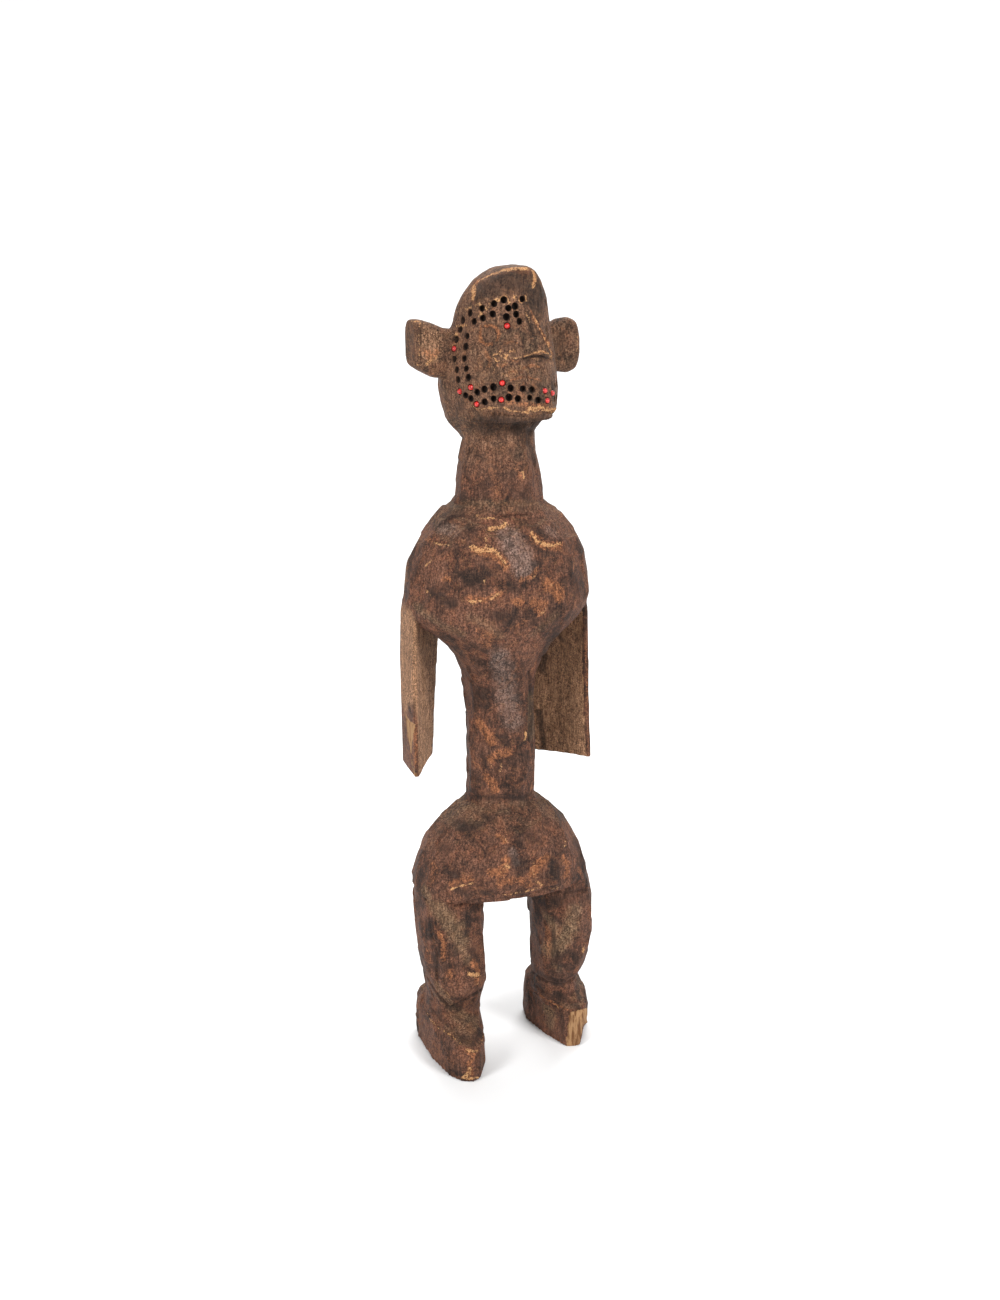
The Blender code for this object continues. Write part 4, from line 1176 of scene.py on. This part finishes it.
# painted shade in the hollows
colour = tinted(colour, field["hollow"], 0.5, "patinaAndPaintedShade")
edgeWear = addMath(wood, "MULTIPLY", field["edge"], addStep(wood, ragged, 0.47, 0.58))
colour = tinted(colour, edgeWear, 0.6, "rust")
paleTone = addMix(wood, addStep(wood, fleck, 0.42, 0.56), woodValues["rust"], woodValues["pale"])
colour = addMix(wood, masks["pale"], colour, paleTone)
freshTone = addMix(wood, addStep(wood, broadGrain, 0.38, 0.56), woodValues["freshDark"],
                   woodValues["fresh"])
colour = addMix(wood, masks["fresh"], colour, freshTone)
# painted shade inside the drilled holes
colour = tinted(colour, field["bore"], 0.93, "patinaAndPaintedShade")
wood.links.new(colour, shader.inputs["Base Color"])

roughness = addStep(wood, fleck, 0.35, 0.65, 0.58, 0.80)
roughness = addMath(wood, "SUBTRACT", roughness, shareOf(masks["polishAndPaintedSheen"], 0.2))
dryWood = addMath(wood, "MAXIMUM", masks["raw"],
                  addMath(wood, "MAXIMUM", masks["pale"], masks["fresh"]))
roughness = addMath(wood, "ADD", roughness, shareOf(dryWood, 0.14))
wood.links.new(roughness, shader.inputs["Roughness"])
shader.inputs["Specular IOR Level"].default_value = 0.18

height = addMath(wood, "ADD", shareOf(grain, 0.5), shareOf(fleck, 0.9))
height = addMath(wood, "ADD", height, shareOf(ragged, 1.1))
height = addMath(wood, "SUBTRACT", height, shareOf(masks["pale"], 0.3))
bump = wood.nodes.new("ShaderNodeBump")
bump.inputs["Strength"].default_value = 0.8
bump.inputs["Distance"].default_value = 0.0018
wood.links.new(height, bump.inputs["Height"])
wood.links.new(bump.outputs["Normal"], shader.inputs["Normal"])
figureWood.data.materials.clear()
figureWood.data.materials.append(woodMaterial)
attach(figureWood, "root")
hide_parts("carved_figure")
print("wood finished")

# Seeds: hard glossy ovals pressed into ten of the holes
seedValues = {"red": (0.62, 0.030, 0.022, 1), "shade": (0.28, 0.010, 0.010, 1),
              "roughness": 0.24, "radius": 0.00245, "stretch": (1.0, 0.97, 1.18),
              "sink": 0.0010, "unevenness": 0.03}
seedMaterial, seedTree = newMaterial("redSeedCoat")
seedShader = seedTree.nodes["Principled BSDF"]
seedPlace = seedTree.nodes.new("ShaderNodeTexCoord").outputs["Object"]
seedCloud = addNoise(seedTree, seedPlace, 520, 3, 0.6)
seedColour = addMix(seedTree, addStep(seedTree, seedCloud, 0.36, 0.62), seedValues["shade"],
                    seedValues["red"])
seedTree.links.new(seedColour, seedShader.inputs["Base Color"])
seedTree.links.new(addStep(seedTree, seedCloud, 0.3, 0.7, 0.34, seedValues["roughness"]),
                   seedShader.inputs["Roughness"])
seedBump = seedTree.nodes.new("ShaderNodeBump")
seedBump.inputs["Strength"].default_value = 0.2
seedBump.inputs["Distance"].default_value = 0.0003
seedTree.links.new(addNoise(seedTree, seedPlace, 1400, 2), seedBump.inputs["Height"])
seedTree.links.new(seedBump.outputs["Normal"], seedShader.inputs["Normal"])


def makeSeed(number, place, direction):
    ball = bmesh.new()
    bmesh.ops.create_uvsphere(ball, u_segments=28, v_segments=18, radius=seedValues["radius"])
    bmesh.ops.scale(ball, vec=seedValues["stretch"], verts=ball.verts)
    for vert in ball.verts:
        bump = noise.noise(vert.co * 420 + Vector((number, 0, 0)))
        vert.co *= 1 + seedValues["unevenness"] * bump
    bmesh.ops.transform(ball, verts=ball.verts,
                        matrix=facingMatrix(place - direction * seedValues["sink"], direction))
    mesh = bpy.data.meshes.new("seedBead%d" % number)
    ball.to_mesh(mesh)
    ball.free()
    mesh.shade_smooth()
    mesh.materials.append(seedMaterial)
    bead = bpy.data.objects.new("seedBead%d" % number, mesh)
    bpy.context.collection.objects.link(bead)
    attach(bead, "root")
    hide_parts("seed_%d" % number)


for number, (place, direction, holdsSeed) in enumerate(drilled[:10], start=1):
    makeSeed(number, place, direction)
print("seeds set")

# Floor that curves up behind, and soft light from all round
stageValues = {"front": -4.0, "bendStart": 1.6, "bendRadius": 1.2, "top": 5.0,
               "halfWidth": 5.0, "paintedShadowTone": 0.74, "farTone": 0.82, "skyStrength": 0.42}
floorMesh = bmesh.new()
bendStart = stageValues["bendStart"]
bendRadius = stageValues["bendRadius"]
profile = [(stageValues["front"], 0.0), (bendStart, 0.0)]
for step in range(1, 13):
    bendAngle = math.radians(90 * step / 12)
    profile.append((bendStart + bendRadius * math.sin(bendAngle),
                    bendRadius - bendRadius * math.cos(bendAngle)))
profile.append((bendStart + bendRadius, stageValues["top"]))
for depthPlace, level in profile:
    floorMesh.verts.new((-stageValues["halfWidth"], depthPlace, level))
floorMesh.verts.ensure_lookup_table()
profileEdges = [floorMesh.edges.new((first, second))
                for first, second in zip(floorMesh.verts, floorMesh.verts[1:])]
swept = bmesh.ops.extrude_edge_only(floorMesh, edges=profileEdges)
sweptVerts = [item for item in swept["geom"] if isinstance(item, bmesh.types.BMVert)]
bmesh.ops.translate(floorMesh, verts=sweptVerts, vec=(2 * stageValues["halfWidth"], 0, 0))
floorData = bpy.data.meshes.new("paleFloor")
floorMesh.to_mesh(floorData)
floorMesh.free()
floorData.shade_smooth()
paleFloor = bpy.data.objects.new("paleFloor", floorData)
bpy.context.collection.objects.link(paleFloor)
paleFloor.rotation_euler = (0, 0, azimuth)
paleFloor.location = (0, 0, -0.0002)
floorMaterial, floorTree = newMaterial("paleFloor")
floorShader = floorTree.nodes["Principled BSDF"]
floorCoordinates = floorTree.nodes.new("ShaderNodeTexCoord").outputs["Object"]
# the floor is darker near the figure: painted shadow around the feet
fromCentre = floorTree.nodes.new("ShaderNodeVectorMath")
fromCentre.operation = "LENGTH"
floorTree.links.new(floorCoordinates, fromCentre.inputs[0])
floorToneWithPaintedShadow = addStep(floorTree, fromCentre.outputs["Value"], 0.08, 0.42,
                    stageValues["paintedShadowTone"], stageValues["farTone"])
floorTree.links.new(floorToneWithPaintedShadow, floorShader.inputs["Base Color"])
floorShader.inputs["Roughness"].default_value = 0.9
floorShader.inputs["Specular IOR Level"].default_value = 0.1
floorData.materials.append(floorMaterial)


def areaLight(name, place, target, size, power):
    data = bpy.data.lights.new(name, "AREA")
    data.shape = "RECTANGLE"
    data.size = size[0]
    data.size_y = size[1]
    data.energy = power
    item = bpy.data.objects.new(name, data)
    bpy.context.collection.objects.link(item)
    item.location = place
    aim = Vector(target) - Vector(place)
    item.rotation_euler = aim.to_track_quat("-Z", "Y").to_euler()


areaLight("keyLight", (1.2, -2.0, 1.7), (0, 0, 0.38), (0.9, 0.9), 67)
areaLight("leftLight", (-2.0, -0.9, 1.5), (0, 0, 0.4), (0.8, 1.4), 52)
areaLight("topLight", (0.5, 1.2, 2.7), (0, 0, 0.3), (1.8, 1.8), 84)

world = bpy.data.worlds.new("softWhite")
bpy.context.scene.world = world
world.use_nodes = True
background = world.node_tree.nodes["Background"]
background.inputs["Color"].default_value = (1, 1, 1, 1)
background.inputs["Strength"].default_value = stageValues["skyStrength"]
bpy.context.scene.view_settings.view_transform = "Standard"
print("stage set")
